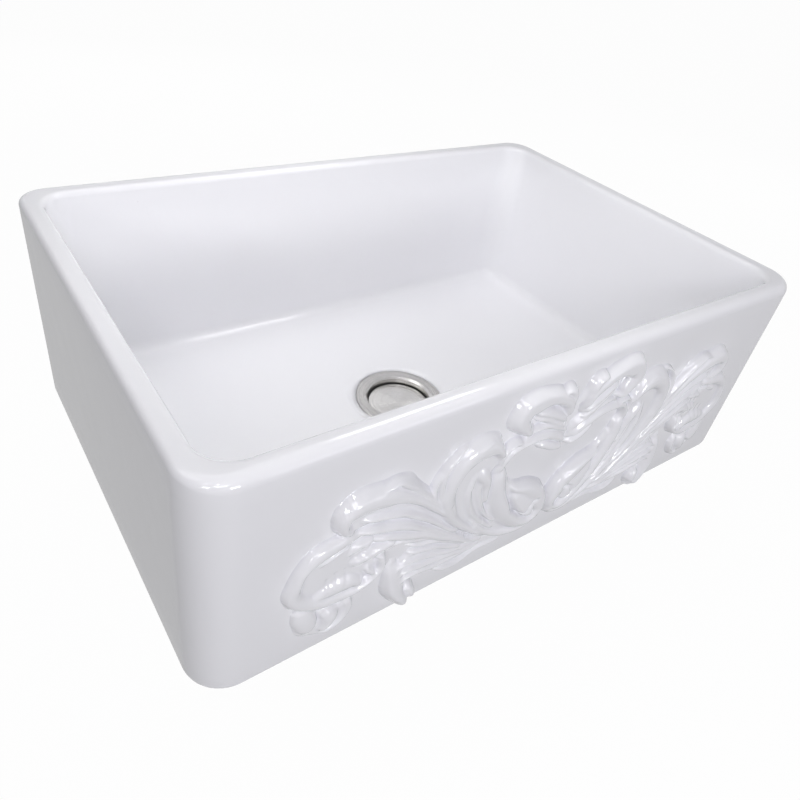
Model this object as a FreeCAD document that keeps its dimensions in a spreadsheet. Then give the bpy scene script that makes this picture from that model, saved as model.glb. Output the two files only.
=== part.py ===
import FreeCAD, Part
import math
import os

import Sketcher
from FreeCAD import Placement, Rotation, Vector

# Farmhouse apron front sink in fireclay, with its basket strainer drain.
# Frame: +X to the right, the apron faces -Y, +Z up. The origin is on the drain's axis,
# in the plane of the basin's underside. All sizes are millimetres.

SIZES = {
    # basin casting
    "width": 762.0,             # over the rim, left to right
    "depth": 508.0,             # over the rim, front to back
    "height": 254.0,            # underside to rim
    "rim_wall": 22.0,           # thickness of each wall at the rim
    "base_thickness": 22.0,     # underside to floor, beside the drain
    "floor_fall": 3.0,          # height that the floor loses from the walls to the drain
    "fall_margin": 26.0,        # level strip between the walls and the falling floor
    "side_draft": 9.0,          # the base is narrower than the rim by this on each side
    "front_draft": 9.0,
    "back_draft": 9.0,
    "bowl_draft": 5.0,          # the floor is smaller than the bowl's mouth by this
    "front_corner": 38.0,       # plan radii
    "back_corner": 32.0,
    "bowl_corner": 30.0,
    "rim_round": 6.0,           # outer edge of the rim
    "lip_round": 7.0,           # inner edge of the rim
    "foot_round": 7.0,          # edge of the underside
    "floor_round": 15.0,        # where the floor meets the walls
    "drain_hole_r": 45.0,
    "seat_r": 66.0,             # ground seat round the hole, on the underside
    "seat_depth": 1.0,
    # relief on the apron
    "relief_side": 74.0,        # from the ends of the rim to the outermost scrolls
    "relief_top": 14.0,         # from the rim to the crest
    "relief_foot": 21.0,        # from the underside to the lowest curls
    "relief_sunk": 6.0,         # how deep its solids reach into the apron
    # drain body and what clamps it
    "flange_r": 57.15,
    "recess_gap": 1.35,         # round the flange in its recess
    "flange_thick": 2.0,
    "flange_proud": 0.5,        # flange above the floor
    "flange_seal": 1.0,
    "hole_gap": 1.5,            # drain body in the basin's hole
    "body_wall": 1.5,
    "bevel": 2.5,               # from the flange into the well
    "shoulder": 2.5,            # step that carries the basket
    "body_floor": 3.0,
    "sump_gap": 3.0,            # under the basket
    "outlet_r": 23.8,           # outside of the threaded outlet
    "outlet_wall": 3.3,
    "outlet_length": 16.0,
    "washer_width": 13.0,       # radial width of the rubber washer under the base
    "washer_thick": 3.0,
    "slip_thick": 1.2,
    "nut_width": 9.0,           # radial width of the clamp nut
    "nut_height": 11.0,
    "lug_length": 7.0,
    "lug_width": 12.0,
    "lug_count": 6,
    # tailpiece
    "tail_r": 19.05,
    "tail_wall": 1.2,
    "tail_length": 101.6,
    "tail_flange": 1.5,
    "outlet_washer": 2.5,
    "coupling_wall": 4.2,
    "coupling_cover": 12.0,     # thread of the outlet that the coupling nut covers
    "coupling_lip": 4.0,
    "neck_wall": 0.5,           # the tailpiece is thicker just under its flange
    "neck_cover": 3.0,          # and for this far below the coupling nut
    "neck_gap": 0.4,            # coupling nut round the neck
    "rib_height": 2.0,
    "rib_width": 5.0,
    "rib_count": 8,
    # lid
    "lid_depth": 9.5,           # lid below the flange
    "lid_thick": 2.0,
    "lid_gap": 2.5,             # black ring that shows between the lid and the well
    "lid_edge": 0.5,
    "seal_thick": 2.5,
    "seal_width": 15.0,
    "seal_gap": 0.3,            # seal from the well's wall
    "plate_r": 33.0,
    "plate_thick": 1.5,
    "collar_r": 12.0,
    "plate_nut_r": 9.0,
    "plate_nut_height": 4.0,
    "travel": 20.0,             # lid from closed to open
    # basket and push latch
    "lip_clear": 1.7,           # seal plate above the basket
    "lip_gap": 0.6,             # basket's lip in the well
    "rest_gap": 0.3,
    "sheet_steel": 1.0,
    "ring_thick": 1.5,
    "basket_gap": 0.9,          # basket's wall in the drain body
    "basket_depth": 46.0,
    "basket_round": 6.0,
    "hole_r": 2.0,
    "inner_ring": 20.0,
    "inner_count": 10,
    "outer_ring": 28.0,
    "outer_count": 16,
    "slot_width": 3.0,
    "slot_height": 22.0,
    "slot_count": 18,
    "bore_r": 6.0,
    "running_gap": 0.05,
    "housing_wall": 3.0,
    "housing_foot": 2.0,
    "spring_length": 9.0,       # with the lid closed
    "spring_wire": 1.1,
    "spring_gap": 0.8,          # round the stem
    "spring_turns": 5,
    "spigot_r": 7.0,
    "housing_nut": 4.0,
    "housing_nut_r": 12.0,
    "stem_gap": 2.0,            # under the stem with the lid closed
    "pin_r": 1.25,
    "pin_drop": 4.0,            # pin below the top of its housing
    "pin_gap": 0.3,
}

doc = FreeCAD.newDocument("apron_front_sink")
sheet = doc.addObject("Spreadsheet::Sheet", "Sizes")
for row, (alias, value) in enumerate(SIZES.items(), start=1):
    sheet.set(f"A{row}", alias)
    sheet.set(f"B{row}", str(value))
    sheet.setAlias(f"B{row}", alias)
doc.recompute()


def bind(words):
    """Words of a formula, each size in it read from the sheet."""
    return " ".join(f"Sizes.{word}" if word in SIZES else word for word in words.split())


# Heights, each worked out from the piece above or below it.
FLANGE_TOP = "base_thickness + flange_proud"
FLANGE_UNDER = f"{FLANGE_TOP} - flange_thick"
RECESS = f"{FLANGE_UNDER} - flange_seal"
LID_TOP = f"{FLANGE_TOP} - lid_depth"
LID_UNDER = f"{LID_TOP} - lid_thick"
SEAL_UNDER = f"{LID_UNDER} - seal_thick"
PLATE_UNDER = f"{SEAL_UNDER} - plate_thick"
PLATE_NUT_UNDER = f"{PLATE_UNDER} - plate_nut_height"
BASKET_TOP = f"{PLATE_UNDER} - lip_clear"
LIP_UNDER = f"{BASKET_TOP} - sheet_steel"
SHOULDER = f"{LIP_UNDER} - ring_thick - rest_gap"
BASKET_UNDER = f"{BASKET_TOP} - basket_depth"
BASKET_FLOOR = f"{BASKET_UNDER} + sheet_steel"
HOUSING_TOP = f"{PLATE_NUT_UNDER} - spring_length"
HOUSING_NUT_UNDER = f"{BASKET_UNDER} - housing_nut"
BORE_UNDER = f"{BASKET_FLOOR} + housing_foot"
STEM_UNDER = f"{BORE_UNDER} + stem_gap"
PIN_HEIGHT = f"{HOUSING_TOP} - pin_drop"
SUMP = f"{HOUSING_NUT_UNDER} - sump_gap"
BODY_UNDER = f"{SUMP} - body_floor"
OUTLET_UNDER = f"{BODY_UNDER} - outlet_length"
WASHER_UNDER = "seat_depth - washer_thick"
SLIP_UNDER = f"{WASHER_UNDER} - slip_thick"
NUT_UNDER = f"{SLIP_UNDER} - nut_height"
OUTLET_WASHER_UNDER = f"{OUTLET_UNDER} - outlet_washer"
TAIL_FLANGE_UNDER = f"{OUTLET_WASHER_UNDER} - tail_flange"
TAIL_UNDER = f"{OUTLET_WASHER_UNDER} - tail_length"
COUPLING_UNDER = f"{TAIL_FLANGE_UNDER} - coupling_lip"
COUPLING_TOP = f"{OUTLET_UNDER} + coupling_cover"
NECK_UNDER = f"{COUPLING_UNDER} - neck_cover"

# Relief: the left half of the scrollwork, seen from the front, as raised forms. Each has its
# height above the apron and the points of its outline: across from the middle, and up.
DRAWN_HALF, DRAWN_FOOT, DRAWN_CREST = 307.0, 21.0, 240.0
RELIEF = {
    "scroll_disc": (5.0, [
        (-244, 144), (-286, 152), (-301, 140), (-307, 108), (-295, 82), (-257, 67), (-214, 78),
        (-206, 97), (-212, 122)]),
    "scroll_band": (9.0, [
        (-247, 144), (-284, 151), (-298, 139), (-305, 109), (-294, 84), (-259, 69), (-233, 70),
        (-235, 80), (-263, 82), (-283, 98), (-289, 114), (-280, 134), (-259, 142)]),
    "stem_leaf": (8.0, [
        (-218, 134), (-201, 138), (-181, 127), (-151, 103), (-113, 71), (-91, 53), (-125, 74),
        (-148, 88), (-178, 104), (-204, 111)]),
    "upper_leaf": (7.0, [
        (-270, 188), (-263, 169), (-252, 152), (-229, 152), (-202, 144), (-166, 122),
        (-125, 89), (-90, 59), (-54, 43), (-70, 55), (-105, 89), (-146, 134), (-164, 155),
        (-184, 181), (-201, 202), (-222, 209), (-248, 203)]),
    "upper_fold": (11.0, [
        (-269, 187), (-262, 169), (-253, 155), (-245, 157), (-247, 171), (-233, 177),
        (-202, 170), (-180, 154), (-164, 155), (-184, 180), (-201, 200), (-222, 207),
        (-248, 201)]),
    "low_curl": (6.0, [
        (-295, 76), (-291, 47), (-276, 30), (-259, 24), (-241, 35), (-233, 53), (-237, 68),
        (-262, 74)]),
    "mid_leaf": (6.5, [
        (-201, 84), (-205, 55), (-174, 49), (-120, 45), (-85, 45), (-60, 39), (-90, 55),
        (-125, 78), (-156, 92), (-181, 99)]),
    "mid_curl": (12.0, [
        (-205, 63), (-201, 43), (-188, 27), (-174, 21), (-168, 31), (-172, 45), (-182, 59)]),
    "broad_leaf": (10.0, [
        (-144, 209), (-117, 213), (-100, 201), (-93, 182), (-89, 163), (-99, 145),
        (-100, 117), (-92, 93), (-74, 65), (-44, 49), (-75, 55), (-110, 84), (-135, 112),
        (-154, 142), (-162, 173), (-156, 195)]),
    "volute_body": (9.5, [
        (-87, 164), (-99, 145), (-100, 117), (-92, 93), (-74, 61), (-52, 42), (-24, 36),
        (-7, 48), (-4, 67), (-14, 92), (-34, 121), (-56, 136), (-73, 146)]),
    "volute_lobe": (14.0, [
        (-73, 124), (-54, 134), (-34, 120), (-16, 92), (-8, 69), (-20, 74), (-34, 84),
        (-44, 80), (-58, 89), (-71, 106)]),
    "ribbon": (8.5, [
        (-93, 170), (-80, 190), (-56, 193), (-32, 195), (-14, 185), (-3, 171), (-3, 159),
        (-8, 161), (-32, 172), (-54, 175), (-77, 168)]),
    "ribbon_drop": (6.0, [
        (-41, 166), (-28, 168), (-8, 163), (-3, 160), (-8, 151), (-28, 154)]),
    "crest": (8.0, [
        (-100, 223), (-93, 236), (-72, 240), (-41, 235), (-24, 237), (-12, 225), (-5, 209),
        (-3, 195), (-11, 198), (-26, 214), (-49, 221), (-69, 217), (-77, 204), (-69, 195),
        (-80, 196), (-95, 207)]),
    "crest_leaf": (7.5, [
        (-65, 214), (-44, 217), (-22, 207), (-10, 193), (-24, 191), (-44, 199)]),
    "foot_leaf": (4.0, [
        (-135, 39), (-118, 27), (-99, 31), (-78, 37), (-54, 37), (-85, 47), (-115, 47)]),
}

# Radii, each worked out from what it fits into.
BODY_R = "drain_hole_r - hole_gap"
WELL_R = f"{BODY_R} - body_wall"
SUMP_R = f"{WELL_R} - shoulder"
MOUTH_R = f"{WELL_R} + bevel"
LID_R = f"{WELL_R} - lid_gap"
SEAL_R = f"{WELL_R} - seal_gap"
LIP_R = f"{WELL_R} - lip_gap"
BASKET_R = f"{SUMP_R} - basket_gap"
OUTLET_BORE = "outlet_r - outlet_wall"
STEM_R = "bore_r - running_gap"
HOUSING_R = "bore_r + housing_wall"
COUPLING_R = "outlet_r + coupling_wall"
NECK_R = "tail_r + neck_wall"
TAIL_HOLE = f"{NECK_R} + neck_gap"


def new_body(label):
    """An empty body with its own label."""
    body = doc.addObject("PartDesign::Body", label)
    body.Label = label
    return body


def origin_plane(body, role):
    """One of the body's own three planes."""
    return next(item for item in body.Origin.OriginFeatures if item.Role == role)


def new_sketch(body, name, role="XZ_Plane", height=None):
    """A sketch on one of the body's planes, raised by a formula."""
    sketch = body.newObject("Sketcher::SketchObject", name)
    sketch.AttachmentSupport = [(origin_plane(body, role), "")]
    sketch.MapMode = "FlatFace"
    if height:
        sketch.setExpression("AttachmentOffset.Base.z", bind(height))
    return sketch


def pin_point(sketch, line, end, across, up):
    """Hold one end of a line at a place given by two formulas."""
    for kind, formula in (("DistanceX", across), ("DistanceY", up)):
        index = sketch.addConstraint(Sketcher.Constraint(kind, line, end, 1.0))
        sketch.setExpression(f"Constraints[{index}]", bind(formula))


def outline(sketch, points):
    """A closed outline of straight lines through points given as formulas."""
    count = len(points)
    spread = [
        Vector(100 + 10 * math.cos(2 * math.pi * i / count), 10 * math.sin(2 * math.pi * i / count), 0)
        for i in range(count)
    ]
    for i in range(count):
        sketch.addGeometry(Part.LineSegment(spread[i], spread[(i + 1) % count]), False)
    for i in range(count):
        sketch.addConstraint(Sketcher.Constraint("Coincident", i, 2, (i + 1) % count, 1))
    for i, (across, up) in enumerate(points):
        pin_point(sketch, i, 1, across, up)


def circle(sketch, radius, across="0", up="0"):
    """A circle whose radius and centre are formulas."""
    index = sketch.addGeometry(Part.Circle(Vector(1, 1, 0), Vector(0, 0, 1), 1.0), False)
    size = sketch.addConstraint(Sketcher.Constraint("Radius", index, 1.0))
    sketch.setExpression(f"Constraints[{size}]", bind(radius))
    pin_point(sketch, index, 3, across, up)


def box_outline(sketch, left, right, low, high):
    """An upright rectangle between four formulas."""
    outline(sketch, [(left, low), (right, low), (right, high), (left, high)])


def turned(body, points, name="profile", kind="PartDesign::Revolution"):
    """Turn a closed (radius, height) outline about the drain's axis."""
    sketch = new_sketch(body, f"{body.Label}_{name}")
    outline(sketch, points)
    feature = body.newObject(kind, f"{body.Label}_{name}_turned")
    feature.Profile = sketch
    feature.ReferenceAxis = (sketch, ["V_Axis"])
    feature.Angle = 360
    sketch.Visibility = False
    return feature


def ring(label, inner, outer, low, high):
    """A plain turned ring in a body of its own."""
    body = new_body(label)
    turned(body, [(inner, low), (outer, low), (outer, high), (inner, high)])
    return body


def pocket(body, sketch, length, both_ways=False):
    """Cut a sketch straight through the body, away from the sketch's front."""
    cut = body.newObject("PartDesign::Pocket", f"{sketch.Name}_cut")
    cut.Profile = sketch
    cut.setExpression("Length", bind(length))
    cut.Midplane = both_ways
    return cut


def pad(body, sketch, length):
    """Raise a sketch into the body."""
    raised = body.newObject("PartDesign::Pad", f"{sketch.Name}_pad")
    raised.Profile = sketch
    raised.setExpression("Length", bind(length))
    return raised


def repeat_round(body, feature, count):
    """Copies of a feature, evenly spaced about the drain's axis."""
    pattern = body.newObject("PartDesign::PolarPattern", f"{feature.Name}_copies")
    pattern.Originals = [feature]
    pattern.Axis = (origin_axis(body, "Z_Axis"), [""])
    pattern.Angle = 360
    pattern.setExpression("Occurrences", bind(count))
    body.Tip = pattern
    return pattern


def origin_axis(body, role):
    """One of the body's own three axes."""
    return next(item for item in body.Origin.OriginFeatures if item.Role == role)


def edges_where(feature, test):
    """Names of the feature's edges that pass a test."""
    return [f"Edge{i}" for i, edge in enumerate(feature.Shape.Edges, start=1) if test(edge)]


def rounded(body, base, names, radius, name):
    """Round the named edges of a feature."""
    fillet = body.newObject("PartDesign::Fillet", name)
    fillet.Base = (base, names)
    fillet.setExpression("Radius", bind(radius))
    doc.recompute()
    return fillet


def tapered_block(body, kind, name, low, high, foot, mouth):
    """A block between two heights, with four sides that lean.

    foot and mouth each give the half width, the front and the back as formulas.
    """
    block = body.newObject(kind, name)
    block.AttachmentSupport = [(origin_plane(body, "XZ_Plane"), "")]
    block.MapMode = "FlatFace"
    names = {
        "Ymin": low,
        "Ymax": high,
        "Xmin": f"0 - ( {foot[0]} )",
        "Xmax": foot[0],
        "Zmin": f"0 - ( {foot[2]} )",
        "Zmax": foot[1],
        "X2min": f"0 - ( {mouth[0]} )",
        "X2max": mouth[0],
        "Z2min": f"0 - ( {mouth[2]} )",
        "Z2max": mouth[1],
    }
    for field, formula in names.items():
        block.setExpression(field, bind(formula))
    doc.recompute()
    return block


def upright(edge):
    """True for an edge that climbs."""
    span = edge.BoundBox
    return span.ZLength > 4 * max(span.XLength, span.YLength)


def level_at(edge, height):
    """True for an edge that lies at one height."""
    return abs(edge.BoundBox.ZMin - height) < 0.01 and abs(edge.BoundBox.ZMax - height) < 0.01


def make_casting():
    """The basin: walls, apron, falling floor and drain recess."""
    half_wide, half_deep = "width / 2", "depth / 2"
    bowl_foot = "base_thickness + floor_fall"
    inner_half = f"{half_wide} - rim_wall"
    inner_deep = f"{half_deep} - rim_wall"
    top = SIZES["height"]
    floor = SIZES["base_thickness"] + SIZES["floor_fall"]
    inside = SIZES["width"] / 2 - SIZES["rim_wall"] + 1

    body = new_body("casting")
    casting = tapered_block(
        body, "PartDesign::AdditiveWedge", "outside", "0", "height",
        (f"{half_wide} - side_draft", f"{half_deep} - front_draft", f"{half_deep} - back_draft"),
        (half_wide, half_deep, half_deep),
    )
    front = edges_where(casting, lambda e: upright(e) and e.CenterOfMass.y < 0)
    casting = rounded(body, casting, front, "front_corner", "front_corners")
    back = edges_where(casting, lambda e: upright(e) and e.CenterOfMass.y > 0)
    casting = rounded(body, casting, back, "back_corner", "back_corners")
    rim = edges_where(casting, lambda e: level_at(e, top))
    casting = rounded(body, casting, rim, "rim_round", "rim_edge")
    foot = edges_where(casting, lambda e: level_at(e, 0))
    casting = rounded(body, casting, foot, "foot_round", "foot_edge")

    casting = tapered_block(
        body, "PartDesign::SubtractiveWedge", "bowl", bowl_foot, "height",
        (f"{inner_half} - bowl_draft", f"{inner_deep} - bowl_draft", f"{inner_deep} - bowl_draft"),
        (inner_half, inner_deep, inner_deep),
    )
    corners = edges_where(
        casting,
        lambda e: upright(e) and e.BoundBox.ZMin > floor - 1 and abs(e.CenterOfMass.x) < inside,
    )
    casting = rounded(body, casting, corners, "bowl_corner", "bowl_corners")
    bowl_floor = edges_where(casting, lambda e: level_at(e, floor))
    casting = rounded(body, casting, bowl_floor, "floor_round", "floor_edge")
    mouth = edges_where(
        casting,
        lambda e: level_at(e, top) and abs(e.CenterOfMass.x) < inside
        and abs(e.CenterOfMass.y) < SIZES["depth"] / 2 - SIZES["rim_wall"] + 1,
    )
    casting = rounded(body, casting, mouth, "lip_round", "lip_edge")

    edge_half = f"{inner_half} - bowl_draft - fall_margin"
    edge_deep = f"{inner_deep} - bowl_draft - fall_margin"
    middle = "flange_r + recess_gap"
    tapered_block(
        body, "PartDesign::SubtractiveWedge", "falling_floor", "base_thickness", bowl_foot,
        (middle, middle, middle),
        (edge_half, edge_deep, edge_deep),
    )
    above = f"{bowl_foot} + 1"
    recess_r = "flange_r + recess_gap"
    turned(
        body,
        [("0", "0 - 1"), ("seat_r", "0 - 1"), ("seat_r", "seat_depth"),
         ("drain_hole_r", "seat_depth"), ("drain_hole_r", RECESS), (recess_r, RECESS),
         (recess_r, above), ("0", above)],
        "drain_hole", "PartDesign::Groove",
    )
    doc.recompute()
    return body


def relief_solid(points, proud):
    """One raised form of the relief, on a flat apron: a smooth outline with upright sides."""
    half = SIZES["width"] / 2 - SIZES["relief_side"]
    tall = SIZES["height"] - SIZES["relief_top"] - SIZES["relief_foot"]
    across = half / DRAWN_HALF
    up = tall / (DRAWN_CREST - DRAWN_FOOT)
    sunk = SIZES["relief_sunk"]
    places = [
        Vector(x * across, sunk, SIZES["relief_foot"] + (z - DRAWN_FOOT) * up) for x, z in points
    ]
    curve = Part.BSplineCurve()
    curve.interpolate(Points=places, PeriodicFlag=True)
    face = Part.Face(Part.Wire(curve.toShape()))
    return face.extrude(Vector(0, -(sunk + proud), 0))


def make_relief():
    """Both halves of the relief, laid on the leaning face of the apron."""
    forms = [relief_solid(points, proud) for proud, points in RELIEF.values()]
    left = forms[0].fuse(forms[1:])
    right = left.mirror(Vector(0, 0, 0), Vector(1, 0, 0))
    relief = doc.addObject("Part::Feature", "relief")
    relief.Shape = Part.makeCompound([left, right])
    lean = math.degrees(math.atan2(SIZES["front_draft"], SIZES["height"]))
    foot = Vector(0, SIZES["front_draft"] - SIZES["depth"] / 2, 0)
    relief.Placement = Placement(foot, Rotation(Vector(1, 0, 0), lean))
    return relief


def make_basin():
    """The casting and its relief, which is one piece with it."""
    basin = doc.addObject("Part::Fuse", "basin")
    basin.Base = make_casting()
    basin.Tool = make_relief()
    return basin


def make_drain_body():
    """Flange, well, shoulder for the basket, sump and threaded outlet."""
    body = new_body("drain_body")
    turned(body, [
        (OUTLET_BORE, OUTLET_UNDER), ("outlet_r", OUTLET_UNDER), ("outlet_r", BODY_UNDER),
        (BODY_R, BODY_UNDER), (BODY_R, FLANGE_UNDER), ("flange_r", FLANGE_UNDER),
        ("flange_r", f"{FLANGE_TOP} - flange_thick / 2"), ("flange_r - flange_thick / 2", FLANGE_TOP),
        (MOUTH_R, FLANGE_TOP), (WELL_R, f"{FLANGE_TOP} - bevel"), (WELL_R, SHOULDER),
        (SUMP_R, SHOULDER), (SUMP_R, SUMP), (OUTLET_BORE, SUMP),
    ])
    return body


def make_clamp_nut():
    """Threaded ring under the base with lugs to turn it by."""
    body = new_body("clamp_nut")
    outer = f"{BODY_R} + nut_width"
    turned(body, [(BODY_R, NUT_UNDER), (outer, NUT_UNDER), (outer, SLIP_UNDER), (BODY_R, SLIP_UNDER)])
    lug = new_sketch(body, "clamp_nut_lug", "XY_Plane", NUT_UNDER)
    box_outline(
        lug, f"{outer} - nut_width / 2", f"{outer} + lug_length",
        "0 - lug_width / 2", "lug_width / 2",
    )
    repeat_round(body, pad(body, lug, "nut_height"), "lug_count")
    return body


def make_coupling_nut():
    """Ribbed nut that holds the tailpiece's flange up against the outlet."""
    body = new_body("coupling_nut")
    turned(body, [
        (TAIL_HOLE, COUPLING_UNDER), (COUPLING_R, COUPLING_UNDER), (COUPLING_R, COUPLING_TOP),
        ("outlet_r", COUPLING_TOP), ("outlet_r", TAIL_FLANGE_UNDER), (TAIL_HOLE, TAIL_FLANGE_UNDER),
    ])
    rib = new_sketch(body, "coupling_nut_rib", "XY_Plane", COUPLING_UNDER)
    box_outline(
        rib, f"{COUPLING_R} - coupling_wall / 2", f"{COUPLING_R} + rib_height",
        "0 - rib_width / 2", "rib_width / 2",
    )
    height = f"{COUPLING_TOP} - ( {COUPLING_UNDER} )"
    repeat_round(body, pad(body, rib, height), "rib_count")
    return body


def make_tailpiece():
    """Flanged tube."""
    body = new_body("tailpiece")
    inner = "tail_r - tail_wall"
    turned(body, [
        (inner, TAIL_UNDER), ("tail_r", TAIL_UNDER), ("tail_r", NECK_UNDER),
        (NECK_R, NECK_UNDER), (NECK_R, TAIL_FLANGE_UNDER),
        ("outlet_r", TAIL_FLANGE_UNDER), ("outlet_r", OUTLET_WASHER_UNDER),
        (inner, OUTLET_WASHER_UNDER),
    ])
    return body


def make_basket():
    """Perforated cup that hangs in the drain body by its lip."""
    body = new_body("basket_cup")
    inner = f"{BASKET_R} - sheet_steel"
    turned(body, [
        ("spigot_r", BASKET_UNDER), (f"{BASKET_R} - basket_round", BASKET_UNDER),
        (BASKET_R, f"{BASKET_UNDER} + basket_round"), (BASKET_R, LIP_UNDER), (LIP_R, LIP_UNDER),
        (LIP_R, BASKET_TOP), (inner, BASKET_TOP), (inner, f"{BASKET_FLOOR} + basket_round"),
        (f"{inner} - basket_round", BASKET_FLOOR), ("spigot_r", BASKET_FLOOR),
    ])
    for name, place, count in (
        ("inner", "inner_ring", "inner_count"),
        ("outer", "outer_ring", "outer_count"),
    ):
        hole = new_sketch(body, f"basket_{name}_hole", "XY_Plane", f"{BASKET_FLOOR} + 1")
        circle(hole, "hole_r", place)
        repeat_round(body, pocket(body, hole, "sheet_steel + 2"), count)
    slot = new_sketch(body, "basket_slot")
    slot.setExpression("AttachmentOffset.Base.z", bind("0"))
    middle = f"( {LIP_UNDER} + {BASKET_FLOOR} + basket_round ) / 2"
    box_outline(
        slot, "0 - slot_width / 2", "slot_width / 2",
        f"{middle} - slot_height / 2", f"{middle} + slot_height / 2",
    )
    repeat_round(body, pocket(body, slot, f"{BASKET_R} + 1"), "slot_count")
    return body


def make_housing():
    """Tube in the middle of the basket that guides the stem."""
    body = new_body("latch_housing")
    turned(body, [
        ("0", HOUSING_NUT_UNDER), ("spigot_r", HOUSING_NUT_UNDER), ("spigot_r", BASKET_FLOOR),
        (HOUSING_R, BASKET_FLOOR), (HOUSING_R, HOUSING_TOP), ("bore_r", HOUSING_TOP),
        ("bore_r", BORE_UNDER), ("0", BORE_UNDER),
    ])
    hole = new_sketch(body, "latch_housing_pin_hole")
    circle(hole, "pin_r", "0", PIN_HEIGHT)
    pocket(body, hole, f"2 * ( {HOUSING_R} ) + 2", both_ways=True)
    return body


def make_pin():
    """Cross pin in the housing, which stops the stem at both ends of its travel."""
    body = new_body("latch_pin")
    section = new_sketch(body, "latch_pin_section")
    circle(section, "pin_r", "0", PIN_HEIGHT)
    raised = pad(body, section, f"2 * ( {HOUSING_R} )")
    raised.Midplane = True
    return body


def make_stem():
    """Stem with the collar between lid and plate, and the slot for the pin."""
    body = new_body("lid_stem")
    turned(body, [
        ("0", STEM_UNDER), (STEM_R, STEM_UNDER), (STEM_R, SEAL_UNDER), ("collar_r", SEAL_UNDER),
        ("collar_r", LID_UNDER), ("0", LID_UNDER),
    ])
    slot = new_sketch(body, "lid_stem_slot")
    box_outline(
        slot, "0 - pin_r - pin_gap", "pin_r + pin_gap",
        f"{PIN_HEIGHT} - travel - pin_r - pin_gap", f"{PIN_HEIGHT} + pin_r + pin_gap",
    )
    pocket(body, slot, "4 * bore_r", both_ways=True)
    return body


def make_lid():
    """Flat disc with a small bevel round its top."""
    body = new_body("lid_disc")
    turned(body, [
        ("0", LID_UNDER), (LID_R, LID_UNDER), (LID_R, f"{LID_TOP} - lid_edge"),
        (f"{LID_R} - lid_edge", LID_TOP), ("0", LID_TOP),
    ])
    return body


def make_hexagon(label, across, hole, low, length):
    """Hexagonal nut: across is the radius to its corners."""
    body = new_body(label)
    sketch = new_sketch(body, f"{label}_hexagon", "XY_Plane", low)
    half = f"( {across} ) / 2"
    rise = f"( {across} ) * sqrt(3) / 2"
    outline(sketch, [
        (across, "0"), (half, rise), (f"0 - {half}", rise),
        (f"0 - ( {across} )", "0"), (f"0 - {half}", f"0 - {rise}"), (half, f"0 - {rise}"),
    ])
    circle(sketch, hole)
    pad(body, sketch, length)
    return body


def make_spring():
    """Coil between the lid's nut and the housing, on a steady helix."""
    body = new_body("latch_spring")
    wire_r = "spring_wire / 2"
    section = new_sketch(body, "latch_spring_section")
    circle(section, wire_r, f"{STEM_R} + spring_gap + {wire_r}", f"{HOUSING_TOP} + {wire_r}")
    coil = body.newObject("PartDesign::AdditiveHelix", "latch_spring_coil")
    coil.Profile = section
    coil.ReferenceAxis = (section, ["V_Axis"])
    coil.Mode = 2
    coil.setExpression("Height", bind("spring_length - spring_wire"))
    coil.setExpression("Turns", bind("spring_turns"))
    return body


def make_parts():
    """Every piece of the sink, by node name."""
    outer_washer = f"{BODY_R} + washer_width"
    return {
        "basin": make_basin(),
        "flange_seal": ring(
            "flange_seal", "drain_hole_r", "flange_r - flange_thick / 2", RECESS, FLANGE_UNDER),
        "drain_body": make_drain_body(),
        "base_washer": ring("base_washer", BODY_R, outer_washer, WASHER_UNDER, "seat_depth"),
        "slip_ring": ring("slip_ring", BODY_R, outer_washer, SLIP_UNDER, WASHER_UNDER),
        "clamp_nut": make_clamp_nut(),
        "outlet_washer": ring(
            "outlet_washer", OUTLET_BORE, "outlet_r", OUTLET_WASHER_UNDER, OUTLET_UNDER),
        "tailpiece": make_tailpiece(),
        "coupling_nut": make_coupling_nut(),
        "basket_cup": make_basket(),
        "basket_ring": ring(
            "basket_ring", BASKET_R, LIP_R, f"{LIP_UNDER} - ring_thick", LIP_UNDER),
        "latch_housing": make_housing(),
        "housing_nut": make_hexagon(
            "housing_nut", "housing_nut_r", "spigot_r", HOUSING_NUT_UNDER, "housing_nut"),
        "latch_pin": make_pin(),
        "latch_spring": make_spring(),
        "lid_disc": make_lid(),
        "lid_seal": ring(
            "lid_seal", f"{SEAL_R} - seal_width", SEAL_R, SEAL_UNDER, LID_UNDER),
        "seal_plate": ring("seal_plate", STEM_R, "plate_r", PLATE_UNDER, SEAL_UNDER),
        "plate_nut": make_hexagon(
            "plate_nut", "plate_nut_r", STEM_R, PLATE_NUT_UNDER, "plate_nut_height"),
        "lid_stem": make_stem(),
    }


parts = make_parts()
doc.recompute()

for item in doc.Objects:
    if "Invalid" in item.State or "Error" in item.State:
        raise RuntimeError(f"{item.Label} failed: {item.State}")
for node, item in parts.items():
    item.Label = node
    if item.Shape.isNull() or not item.Shape.isValid():
        raise RuntimeError(f"{node} has no valid shape")
    if len(item.Shape.Solids) != 1:
        raise RuntimeError(f"{node} has {len(item.Shape.Solids)} solids")
for node, item in parts.items():
    item.Shape.exportStep(f"parts/{node}.step")
    box = item.Shape.BoundBox
    print(f"{node:16s} volume {item.Shape.Volume:12.1f}  z {box.ZMin:8.2f} to {box.ZMax:8.2f}  r {box.XMax:7.2f}")
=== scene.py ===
import logging
import math
from dataclasses import dataclass, field
from enum import Enum
from typing import Sequence

import bpy
import numpy as np
from mathutils import Matrix


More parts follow.
